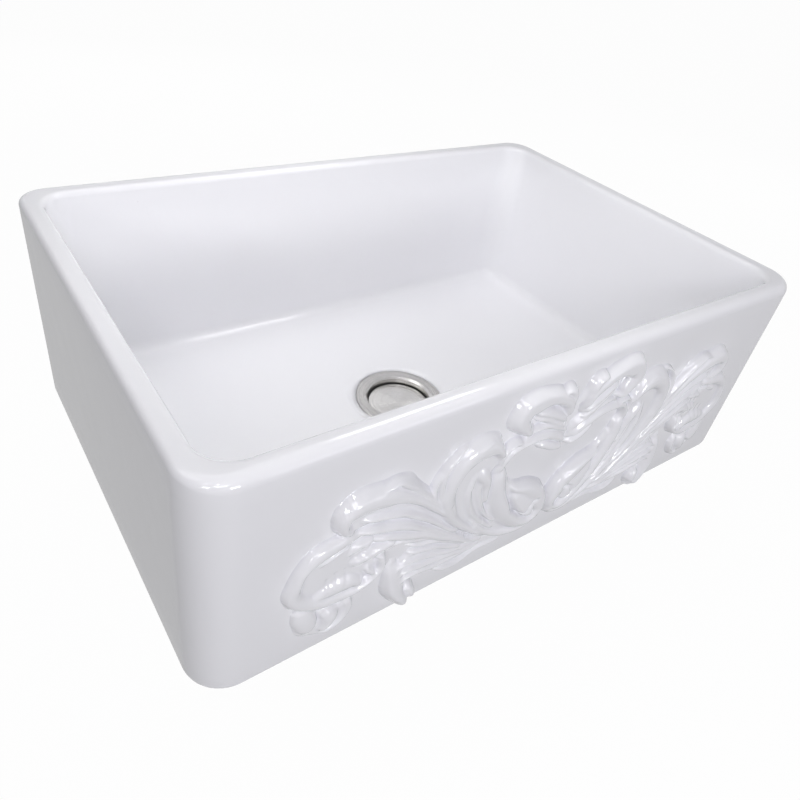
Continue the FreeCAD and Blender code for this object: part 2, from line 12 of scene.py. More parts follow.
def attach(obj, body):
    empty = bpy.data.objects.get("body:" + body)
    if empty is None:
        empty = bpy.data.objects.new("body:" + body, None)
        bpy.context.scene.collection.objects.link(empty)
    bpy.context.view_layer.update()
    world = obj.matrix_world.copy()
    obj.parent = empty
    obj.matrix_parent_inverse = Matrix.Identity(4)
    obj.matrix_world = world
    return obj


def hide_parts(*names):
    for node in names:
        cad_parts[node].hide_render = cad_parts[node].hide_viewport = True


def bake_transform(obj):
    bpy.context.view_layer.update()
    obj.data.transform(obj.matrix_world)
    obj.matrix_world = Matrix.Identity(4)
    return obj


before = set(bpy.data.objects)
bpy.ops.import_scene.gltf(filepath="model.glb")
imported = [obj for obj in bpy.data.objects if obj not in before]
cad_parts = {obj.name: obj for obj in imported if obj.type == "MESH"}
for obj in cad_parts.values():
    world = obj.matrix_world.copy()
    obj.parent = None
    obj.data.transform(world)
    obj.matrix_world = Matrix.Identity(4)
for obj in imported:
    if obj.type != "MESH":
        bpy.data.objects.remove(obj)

# Farmhouse apron front sink: glazed basin with a carved apron, and its basket strainer drain.
# Sizes are millimetres in the classes and become metres when a mesh is made.

log = logging.getLogger("sink")
MM = 0.001
Row = tuple[float, ...]


class Flank(Enum):
    """How one side of a carved stroke falls away, as the exponent of its section."""

    STEEP = 0.5
    DOMED = 1.0
    SOFT = 2.0


class Half(Enum):
    """Side of the apron that a half of the carving lies on."""

    LEFT = 1
    RIGHT = -1


# ---------------------------------------------------------------- materials


class Graph:
    """Node tree of one material, built a node at a time."""

    def __init__(self, name: str) -> None:
        """Make an empty material.

        Args:
            name: the material's name.
        """
        self.material = bpy.data.materials.new(name)
        self.material.use_nodes = True
        self.tree = self.material.node_tree
        self.tree.nodes.clear()
        self.output = self.tree.nodes.new("ShaderNodeOutputMaterial")

    def add(self, kind: str, inputs: dict | None = None, **fields: object) -> bpy.types.Node:
        """Add a node and fill it.

        Args:
            kind: Blender's type name, without "ShaderNode".
            inputs: socket name or number to a plain value or to another node's output.
            fields: the node's own settings.

        Returns:
            The new node.
        """
        node = self.tree.nodes.new("ShaderNode" + kind)
        for key, value in fields.items():
            setattr(node, key, value)
        for key, value in (inputs or {}).items():
            if isinstance(value, bpy.types.NodeSocket):
                self.tree.links.new(value, node.inputs[key])
            else:
                node.inputs[key].default_value = value
        return node

    def place(self) -> bpy.types.NodeSocket:
        """Object coordinates, in metres."""
        return self.add("TexCoord").outputs["Object"]

    def sum(self, kind: str, first: object, second: object) -> bpy.types.NodeSocket:
        """One Math operation on two sockets or numbers."""
        return self.add("Math", {0: first, 1: second}, operation=kind).outputs[0]

    def blend(self, share: object, low: Row, high: Row) -> bpy.types.NodeSocket:
        """Colour between two colours.

        Args:
            share: socket from 0 to 1.
            low: colour at 0.
            high: colour at 1.

        Returns:
            The colour's socket.
        """
        mix = self.add("Mix", data_type="RGBA")
        for socket, value in ((mix.inputs[0], share), (mix.inputs[6], low), (mix.inputs[7], high)):
            if isinstance(value, bpy.types.NodeSocket):
                self.tree.links.new(value, socket)
            else:
                socket.default_value = value
        return mix.outputs[2]

    def spread(self, value: object, low: float, high: float) -> bpy.types.NodeSocket:
        """A 0 to 1 value spread between two numbers."""
        return self.add("MapRange", {0: value, 3: low, 4: high}).outputs[0]

    def radius(self, place: object) -> bpy.types.NodeSocket:
        """Distance of a place from the drain's axis, in metres."""
        flat = self.add("VectorMath", {0: place, 1: (1.0, 1.0, 0.0)}, operation="MULTIPLY")
        return self.add("VectorMath", {0: flat.outputs[0]}, operation="LENGTH").outputs["Value"]

    def around(self, place: object) -> bpy.types.NodeSocket:
        """Unit direction that runs round the drain's axis at a place."""
        turn = self.add("VectorMath", {0: (0.0, 0.0, 1.0), 1: place}, operation="CROSS_PRODUCT")
        return self.add("VectorMath", {0: turn.outputs[0]}, operation="NORMALIZE").outputs[0]

    def finish(self, surface: bpy.types.NodeSocket) -> bpy.types.Material:
        """Join the shader to the output and give back the material."""
        self.tree.links.new(surface, self.output.inputs["Surface"])
        return self.material


@dataclass(frozen=True)
class WhiteGlaze:
    """Thick glossy white glaze on fireclay: almost even, with a faint random mottle; on the carving, shade
    is painted into its colour, darker and cooler in the creases and hollows.

    cloud, speck_spacing, speck_patch, peel and wave are scales of patterns, per metre.
    """

    light: Row = (0.92, 0.92, 0.935, 1.0)
    # The second colour is the random mottle's tone, and on the carving it is painted shade in creases and
    # hollows.
    mottle_and_crease_shade: Row = (0.76, 0.76, 0.80, 1.0)
    speck: Row = (0.30, 0.28, 0.27, 1.0)
    gloss: float = 0.03
    gloss_range: float = 0.04
    cloud: float = 9.0
    cloud_shade: float = 0.12
    speck_spacing: float = 26.0
    speck_edge: Row = (0.012, 0.02)
    speck_shade: float = 0.25
    speck_patch: float = 14.0
    speck_rarity: float = 0.66
    peel: float = 90.0
    wave: float = 11.0
    carved: bool = False

    def material(self) -> bpy.types.Material:
        """Build the glaze.

        Returns:
            The material.
        """
        g = Graph("glaze_carved" if self.carved else "glaze")
        place = g.place()
        cloud = g.add("TexNoise", {"Vector": place, "Scale": self.cloud, "Detail": 3.0})
        # On the carving, the share of the darker, cooler colour is painted shade in creases and hollows;
        # elsewhere it is a random cloudy mottle.
        if self.carved:
            mottle_and_crease_shade_share = g.add("Attribute", attribute_name="mottle_and_crease_shade_share").outputs["Fac"]
        else:
            mottle_and_crease_shade_share = g.spread(cloud.outputs["Fac"], 0.0, self.cloud_shade)
        body = g.blend(mottle_and_crease_shade_share, self.light, self.mottle_and_crease_shade)
        dots = g.add("TexVoronoi", {"Vector": place, "Scale": self.speck_spacing})
        dot = g.add("MapRange", {0: dots.outputs["Distance"], 1: self.speck_edge[0],
                                 2: self.speck_edge[1], 3: self.speck_shade, 4: 0.0})
        patch = g.add("TexNoise", {"Vector": place, "Scale": self.speck_patch})
        seen = g.sum("GREATER_THAN", patch.outputs["Fac"], self.speck_rarity)
        colour = g.blend(g.sum("MULTIPLY", dot.outputs[0], seen), body, self.speck)
        peel = g.add("TexNoise", {"Vector": place, "Scale": self.peel, "Detail": 2.0})
        slow = g.add("TexNoise", {"Vector": place, "Scale": self.wave, "Detail": 1.0})
        wave = g.add("Bump", {"Strength": 0.10, "Distance": 0.006, "Height": slow.outputs["Fac"]})
        skin = g.add("Bump", {"Strength": 0.05, "Distance": 0.0006, "Height": peel.outputs["Fac"],
                              "Normal": wave.outputs[0]})
        rough = g.spread(cloud.outputs["Fac"], self.gloss, self.gloss + self.gloss_range)
        shader = g.add("BsdfPrincipled", {
            "Base Color": colour, "Roughness": rough, "Normal": skin.outputs[0],
            "IOR": 1.52, "Specular IOR Level": 0.5})
        return g.finish(shader.outputs[0])


@dataclass(frozen=True)
class TurnedSteel:
    """Stainless steel with fine rings left by turning, which stretch each highlight.

    pitch and smear are scales of patterns, per metre, and broad rings are coarser by broad.
    """

    name: str
    tone: Row = (0.68, 0.67, 0.645, 1.0)
    dark: Row = (0.48, 0.47, 0.455, 1.0)
    rough: float = 0.26
    rough_rings: float = 0.06
    rough_smear: float = 0.03
    pitch: float = 1400.0
    broad: float = 9.0
    smear: float = 60.0
    bump: float = 0.25
    stretch: float = 0.7

    def material(self) -> bpy.types.Material:
        """Build the turned steel.

        Returns:
            The material.
        """
        g = Graph(self.name)
        place = g.place()
        radius = g.radius(place)
        ring = g.add("TexNoise", {"W": radius, "Scale": self.pitch, "Detail": 3.0},
                     noise_dimensions="1D").outputs["Fac"]
        broad = g.add("TexNoise", {"W": radius, "Scale": self.pitch / self.broad},
                      noise_dimensions="1D").outputs["Fac"]
        smear = g.add("TexNoise", {"Vector": place, "Scale": self.smear, "Detail": 4.0}).outputs["Fac"]
        tone = g.sum("MULTIPLY", g.sum("ADD", ring, broad), 0.5)
        colour = g.blend(tone, self.dark, self.tone)
        rough = g.sum(
            "ADD", g.spread(ring, self.rough - self.rough_rings, self.rough + self.rough_rings),
            g.spread(smear, -self.rough_smear, self.rough_smear))
        relief = g.add("Bump", {"Strength": self.bump, "Distance": 0.0002, "Height": ring})
        shader = g.add("BsdfPrincipled", {
            "Base Color": colour, "Metallic": 1.0, "Roughness": rough,
            "Anisotropic": self.stretch, "Tangent": g.around(place), "Normal": relief.outputs[0]})
        return g.finish(shader.outputs[0])


@dataclass(frozen=True)
class Grained:
    """Plain finish with a faint grain: metal as cast or drawn, rubber or plastic as moulded.

    rough is its least and most, and grain and cloud are scales of patterns, per metre.
    """

    name: str
    tone: Row
    dark: Row
    rough: Row
    grain: float
    bump: float
    detail: float = 5.0
    cloud: float = 35.0
    metallic: float = 1.0

    def material(self) -> bpy.types.Material:
        """Build the finish.

        Returns:
            The material.
        """
        g = Graph(self.name)
        place = g.place()
        grain = g.add("TexNoise", {"Vector": place, "Scale": self.grain, "Detail": self.detail})
        cloud = g.add("TexNoise", {"Vector": place, "Scale": self.cloud})
        colour = g.blend(cloud.outputs["Fac"], self.dark, self.tone)
        rough = g.spread(grain.outputs["Fac"], *self.rough)
        skin = g.add("Bump", {"Strength": self.bump, "Distance": 0.0003,
                              "Height": grain.outputs["Fac"]})
        shader = g.add("BsdfPrincipled", {
            "Base Color": colour, "Metallic": self.metallic, "Roughness": rough,
            "Normal": skin.outputs[0]})
        return g.finish(shader.outputs[0])


# ---------------------------------------------------------------- mesh helpers


def grid_faces(rows: int, columns: int, closed_rows: bool, closed_columns: bool) -> np.ndarray:
    """Quads of a grid of points, numbered row by row.

    Args:
        rows: number of rows.
        columns: number of columns.
        closed_rows: join the last row to the first.
        closed_columns: join the last column to the first.

    Returns:
        Four point numbers for each quad.
    """
    i = np.arange(rows if closed_rows else rows - 1)[:, None]
    j = np.arange(columns if closed_columns else columns - 1)[None, :]
    i2, j2 = (i + 1) % rows, (j + 1) % columns
    corners = (i * columns + j, i * columns + j2, i2 * columns + j2, i2 * columns + j)
    return np.stack([np.broadcast_to(c, (i.size, j.size)) for c in corners], -1).reshape(-1, 4)


def make_piece(
    name: str, points: np.ndarray, faces: Sequence, material: bpy.types.Material,
    body: str | None = None,
) -> bpy.types.Object:
    """Make a smooth mesh object, which rides on a body if one is given.

    Args:
        name: the piece's name.
        points: one row of x, y and z in millimetres for each point.
        faces: point numbers of each face.
        material: its finish.
        body: the body that it rides on, if one.

    Returns:
        The new object.
    """
    mesh = bpy.data.meshes.new(name)
    mesh.from_pydata((np.asarray(points) * MM).tolist(), [], [list(map(int, f)) for f in faces])
    mesh.validate()
    mesh.polygons.foreach_set("use_smooth", np.ones(len(mesh.polygons), bool))
    mesh.materials.append(material)
    mesh.update()
    piece = bpy.data.objects.new(name, mesh)
    bpy.context.scene.collection.objects.link(piece)
    if body:
        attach(piece, body)
    log.info("%s: %d points, %d faces", name, len(mesh.vertices), len(mesh.polygons))
    return piece


def smooth_line(points: Sequence[Row], count: int) -> np.ndarray:
    """Even samples of a smooth line through points, each number of a point carried along.

    Between two points the line is the cubic whose slope at each is half the step between
    that point's neighbours.

    Args:
        points: the rows that it passes through.
        count: number of samples.

    Returns:
        The sampled rows.
    """
    p = np.asarray(points, float)
    p = np.vstack([2 * p[0] - p[1], p, 2 * p[-1] - p[-2]])
    t = np.linspace(0, len(p) - 3 - 1e-6, count)
    i = t.astype(int)
    f = (t - i)[:, None]
    a, b, c, d = p[i], p[i + 1], p[i + 2], p[i + 3]
    return 0.5 * (2 * b + (c - a) * f + (2 * a - 5 * b + 4 * c - d) * f**2
                  + (3 * b - a - 3 * c + d) * f**3)


# ---------------------------------------------------------------- basin


@dataclass(frozen=True)
class Ring:
    """One level of the basin's wall: a rectangle with round corners.

    inset is how far it lies inside the outer or inner wall line, front inset apart.
    """

    half_wide: float
    half_deep: float
    front_r: float
    back_r: float
    z: float
    front_inset: float = 0.0
    inset: float = 0.0
    front_z: float | None = None


@dataclass
class Basin:
    """Glazed fireclay basin: one closed skin from the drain hole round the walls and back."""

    width: float = 762.0
    depth: float = 508.0
    height: float = 254.0
    rim_wall: float = 22.0
    draft: float = 9.0
    bowl_draft: float = 5.0
    floor: float = 25.0
    fall: float = 3.0
    fall_margin: float = 26.0
    front_corner: float = 38.0
    back_corner: float = 32.0
    bowl_corner: float = 30.0
    front_round: float = 11.0
    side_round: float = 6.3
    lip_round: float = 7.0
    foot_round: float = 7.0
    floor_round: float = 15.0
    floor_crease: float = 0.03
    floor_ease: float = 0.06
    recess_r: float = 58.5
    recess_z: float = 19.5
    recess_break: float = 0.4
    hole_r: float = 45.0
    hole_break: float = 0.5
    seat_r: float = 66.0
    seat_z: float = 1.0
    seat_break: Row = (0.6, 0.3)
    long_steps: int = 110
    short_steps: int = 74
    corner_steps: int = 18
    round_steps: int = 8
    wall_steps: int = 14
    bowl_steps: int = 13
    floor_steps: int = 26
    base_shares: Row = (0.15, 0.4, 0.7, 0.9)
    rim_shares: Row = (0.25, 0.5, 0.75)

    def loop(self, ring: Ring) -> np.ndarray:
        """Points of one level, counter-clockwise from the front's left end.

        Each corner is a quarter circle between two straight sides. The front side and its
        corners may lie lower than the rest, blended by how far the point faces forward.

        Args:
            ring: the level.

        Returns:
            One row of x, y and z for each point.
        """
        hx, hy = ring.half_wide - ring.inset, ring.half_deep - ring.inset
        yf = -(ring.half_deep - ring.front_inset)
        rf = max(ring.front_r - 0.5 * (ring.inset + ring.front_inset), 1.0)
        rb = max(ring.back_r - ring.inset, 1.0)
        n, m, k = self.long_steps, self.short_steps, self.corner_steps
        u, v = np.arange(n) / n, np.arange(m) / m
        arc = np.arange(k) / k * math.pi / 2

        def corner(cx: float, cy: float, r: float, start: float) -> np.ndarray:
            """Quarter circle about a centre, from an angle."""
            return np.stack([cx + r * np.cos(start + arc), cy + r * np.sin(start + arc)], -1)

        def side(a: Row, b: Row, t: np.ndarray) -> np.ndarray:
            """Straight run between two points."""
            return np.asarray(a) + (np.asarray(b) - np.asarray(a)) * t[:, None]

        parts = [
            side((-hx + rf, yf), (hx - rf, yf), u),
            corner(hx - rf, yf + rf, rf, -math.pi / 2),
            side((hx, yf + rf), (hx, hy - rb), v),
            corner(hx - rb, hy - rb, rb, 0.0),
            side((hx - rb, hy), (-hx + rb, hy), u),
            corner(-hx + rb, hy - rb, rb, math.pi / 2),
            side((-hx, hy - rb), (-hx, yf + rf), v),
            corner(-hx + rf, yf + rf, rf, math.pi),
        ]
        flat = np.vstack(parts)
        z = np.full(len(flat), ring.z)
        if ring.front_z is not None:
            z += (ring.front_z - ring.z) * self.forward()
        return np.column_stack([flat, z])

    def forward(self) -> np.ndarray:
        """Share of the front's own round at each point: 1 on the front, fading round its corners.

        Returns:
            A share for each point of a loop.
        """
        n, m, k = self.long_steps, self.short_steps, self.corner_steps
        turn = np.arange(k) / k
        fade = 0.5 + 0.5 * np.cos(turn * math.pi)
        return np.concatenate([
            np.ones(n), fade, np.zeros(m), np.zeros(k), np.zeros(n), np.zeros(k), np.zeros(m),
            fade[::-1]])

    def outer(self, z: float) -> tuple[float, float]:
        """Half width and half depth of the leaning outside at a height."""
        lean = self.draft * (1 - z / self.height)
        return self.width / 2 - lean, self.depth / 2 - lean

    def inner(self, z: float) -> tuple[float, float]:
        """Half width and half depth of the leaning bowl at a height."""
        lean = self.bowl_draft * (self.height - z) / (self.height - self.floor)
        return self.width / 2 - self.rim_wall - lean, self.depth / 2 - self.rim_wall - lean

    def ringed(self) -> np.ndarray:
        """All loops of the skin, in order, as rows of points.

        Outside: underside, foot round, leaning wall, rim round. Then the rim, the lip round,
        the bowl's wall, the floor round, the falling floor, the recess and the hole. Each round
        is a quarter circle: in by r(1 - sin a) and up by r(1 - cos a).

        Returns:
            Points with one row of the first axis for each loop.
        """
        loops: list[np.ndarray] = []
        turn = np.linspace(0, math.pi / 2, self.round_steps + 1)

        def add(half: tuple[float, float], corners: tuple[float, float], z: float,
                inset: float = 0.0, front_inset: float | None = None,
                front_z: float | None = None) -> None:
            """Append one level."""
            loops.append(self.loop(Ring(
                half[0], half[1], corners[0], corners[1], z,
                inset if front_inset is None else front_inset, inset, front_z)))

        outside = (self.front_corner, self.back_corner)
        inside = (self.bowl_corner, self.bowl_corner)
        rest = self.loop(Ring(*self.outer(0.0), *outside, 0.0, self.foot_round, self.foot_round))
        around = np.arctan2(rest[:, 1], rest[:, 0])

        def round_loop(r: float, z: float) -> np.ndarray:
            """Circle whose points face those of the outer loop."""
            return np.column_stack([r * np.cos(around), r * np.sin(around), np.full(len(around), z)])

        wide, tall = self.seat_break
        for r, z in ((self.hole_r, self.seat_z), (self.seat_r - wide, self.seat_z),
                     (self.seat_r, self.seat_z - tall), (self.seat_r, tall), (self.seat_r + wide, 0.0)):
            loops.append(round_loop(r, z))
        under = round_loop(self.seat_r + wide, 0.0)
        for t in self.base_shares:
            loops.append(under + (rest - under) * t)
        for a in turn:
            z = self.foot_round * (1 - math.cos(a))
            add(self.outer(z), outside, z, self.foot_round * (1 - math.sin(a)))
        top = self.height - self.side_round
        front_top = self.height - self.front_round
        for t in np.linspace(0, 1, self.wall_steps + 1)[1:-1]:
            z = self.foot_round + (top - self.foot_round) * t
            add(self.outer(z), outside, z, 0.0,
                front_z=self.foot_round + (front_top - self.foot_round) * t)
        for a in turn:
            rise = 1 - math.cos(a)
            z = top + self.side_round * math.sin(a)
            fz = front_top + self.front_round * math.sin(a)
            add(self.outer(top), outside, z, self.side_round * rise, self.front_round * rise, fz)
        lip = self.rim_wall - self.lip_round
        for t in self.rim_shares:
            add(self.outer(top), outside, self.height,
                self.side_round + (lip - self.side_round) * t,
                self.front_round + (lip - self.front_round) * t)
        mouth = self.inner(self.height)
        for a in turn:
            add(mouth, inside, self.height - self.lip_round * (1 - math.cos(a)),
                -self.lip_round * (1 - math.sin(a)))
        wall_foot = self.floor + self.floor_round
        for t in np.linspace(0, 1, self.bowl_steps + 1)[1:-1]:
            z = self.height - self.lip_round + (wall_foot - self.height + self.lip_round) * t
            add(self.inner(z), inside, z)
        for a in turn:
            z = wall_foot - self.floor_round * math.sin(a)
            add(self.inner(z), inside, z, self.floor_round * (1 - math.cos(a)))
        edge = loops[-1]
        bearing = np.arctan2(edge[:, 1], edge[:, 0])
        rim = np.column_stack([self.recess_r * np.cos(bearing), self.recess_r * np.sin(bearing)])
        for t in np.linspace(0, 1, self.floor_steps + 1)[1:]:
            flat = edge[:, :2] + (rim - edge[:, :2]) * t
            loops.append(np.column_stack([flat, self.fallen(flat)]))
        edge, lip = self.recess_break, self.hole_break
        for r, z in ((self.recess_r, self.floor - self.fall - edge),
                     (self.recess_r, self.recess_z + edge), (self.recess_r - edge, self.recess_z),
                     (self.hole_r + lip, self.recess_z), (self.hole_r, self.recess_z - lip)):
            loops.append(np.column_stack([r * np.cos(bearing), r * np.sin(bearing),
                                          np.full(len(bearing), z)]))
        return np.stack(loops)

    def fallen(self, flat: np.ndarray) -> np.ndarray:
        """Height of the falling floor.

        It is four planes that fall to the drain, each the same share h of the way from the level
        strip to the drain's square, joined along soft creases from the corners. Past 1 - e the
        share eases towards 1 as 1 - e exp((1 - e - h) / e).

        Args:
            flat: rows of x and y.

        Returns:
            A height for each row.
        """
        half_x, half_y = self.inner(self.floor)
        x = (np.abs(flat[:, 0]) - self.recess_r) / (half_x - self.fall_margin - self.recess_r)
        y = (np.abs(flat[:, 1]) - self.recess_r) / (half_y - self.fall_margin - self.recess_r)
        high = 0.5 * (x + y + np.sqrt((x - y) ** 2 + self.floor_crease**2))
        ease = self.floor_ease
        near = 1 - ease * np.exp((1 - ease - high) / ease)
        share = np.where(high > 1 - ease, near, high)
        return self.floor - self.fall * (1 - np.clip(share, 0, 1))

    def build(self, glaze: bpy.types.Material) -> bpy.types.Object:
        """Make the basin, which stands for the CAD node of the same name.

        Args:
            glaze: its finish.

        Returns:
            The basin.
        """
        loops = self.ringed()
        rows, columns, _ = loops.shape
        faces = grid_faces(rows, columns, True, True)
        piece = make_piece("basin_skin", loops.reshape(-1, 3), faces, glaze, "basin")
        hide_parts("basin")
        return piece


# ---------------------------------------------------------------- carving


@dataclass(frozen=True)
class Bed:
    """Low plateau that a group of strokes stands on: name, height and outline."""

    name: str
    height: float
    outline: list[Row]


@dataclass(frozen=True)
class Stroke:
    """Raised ridge: name, flanks left and right of its way, and its line.

    Each row of the line is x, z, height, left width and right width.
    """

    name: str
    left: Flank
    right: Flank
    line: list[Row]


@dataclass(frozen=True)
class Groove:
    """Cut line: name, depth, width and line of x and z."""

    name: str
    depth: float
    width: float
    line: list[Row]


BEDS = [
    Bed("scroll_disc", 3.5, [
        (-237, 132), (-280, 140), (-296, 128), (-303, 99), (-294, 80), (-257, 67), (-214, 78), (-205, 96),
        (-207, 114)]),
    Bed("stem_leaf", 4, [
        (-211, 122), (-193, 126), (-174, 117), (-144, 94), (-106, 61), (-91, 53), (-123, 71), (-146, 86),
        (-177, 103), (-202, 108)]),
    Bed("upper_leaf", 3.5, [
        (-264, 177), (-260, 163), (-251, 151), (-229, 152), (-201, 143), (-164, 119), (-122, 85), (-87, 55),
        (-54, 43), (-63, 46), (-99, 81), (-141, 127), (-159, 149), (-180, 175), (-195, 195), (-215, 199),
        (-241, 192)]),
    Bed("low_curl", 3, [
        (-289, 62), (-288, 40), (-275, 29), (-259, 24), (-241, 35), (-232, 52), (-231, 56), (-256, 60)]),
    Bed("mid_leaf", 3.5, [
        (-193, 70), (-202, 49), (-174, 49), (-120, 45), (-85, 45), (-56, 34), (-81, 44), (-117, 67),
        (-147, 79), (-172, 86)]),
    Bed("broad_leaf", 4.5, [
        (-134, 199), (-107, 204), (-96, 197), (-91, 180), (-89, 163), (-99, 145), (-99, 116), (-88, 88),
        (-67, 56), (-44, 49), (-73, 52), (-106, 79), (-130, 106), (-148, 134), (-153, 162), (-147, 184)]),
    Bed("volute_body", 5, [
        (-73, 140), (-86, 130), (-90, 105), (-84, 84), (-68, 54), (-50, 39), (-24, 36), (-8, 46), (-3, 62),
        (-8, 82), (-21, 100), (-42, 115), (-64, 126)]),
    Bed("ribbon", 4.5, [
        (-83, 159), (-69, 179), (-44, 182), (-21, 186), (-7, 179), (-1, 169), (-3, 159), (-4, 158),
        (-30, 170), (-54, 175), (-77, 168)]),
    Bed("ribbon_drop", 3, [(-29, 155), (-16, 157), (0, 154), (-3, 160), (-8, 151), (-25, 151)]),
    Bed("crest", 4, [
        (-89, 213), (-82, 226), (-61, 231), (-30, 226), (-15, 230), (-9, 222), (-4, 208), (-3, 195),
        (-4, 193), (-21, 210), (-48, 220), (-69, 217), (-77, 204), (-69, 195), (-77, 193), (-88, 200)]),
    Bed("crest_leaf", 3.5, [(-53, 204), (-33, 208), (-15, 201), (-10, 193), (-22, 190), (-40, 195)]),
    Bed("foot_leaf", 2, [(-125, 24), (-118, 27), (-99, 31), (-78, 37), (-49, 30), (-74, 32), (-105, 32)]),
]

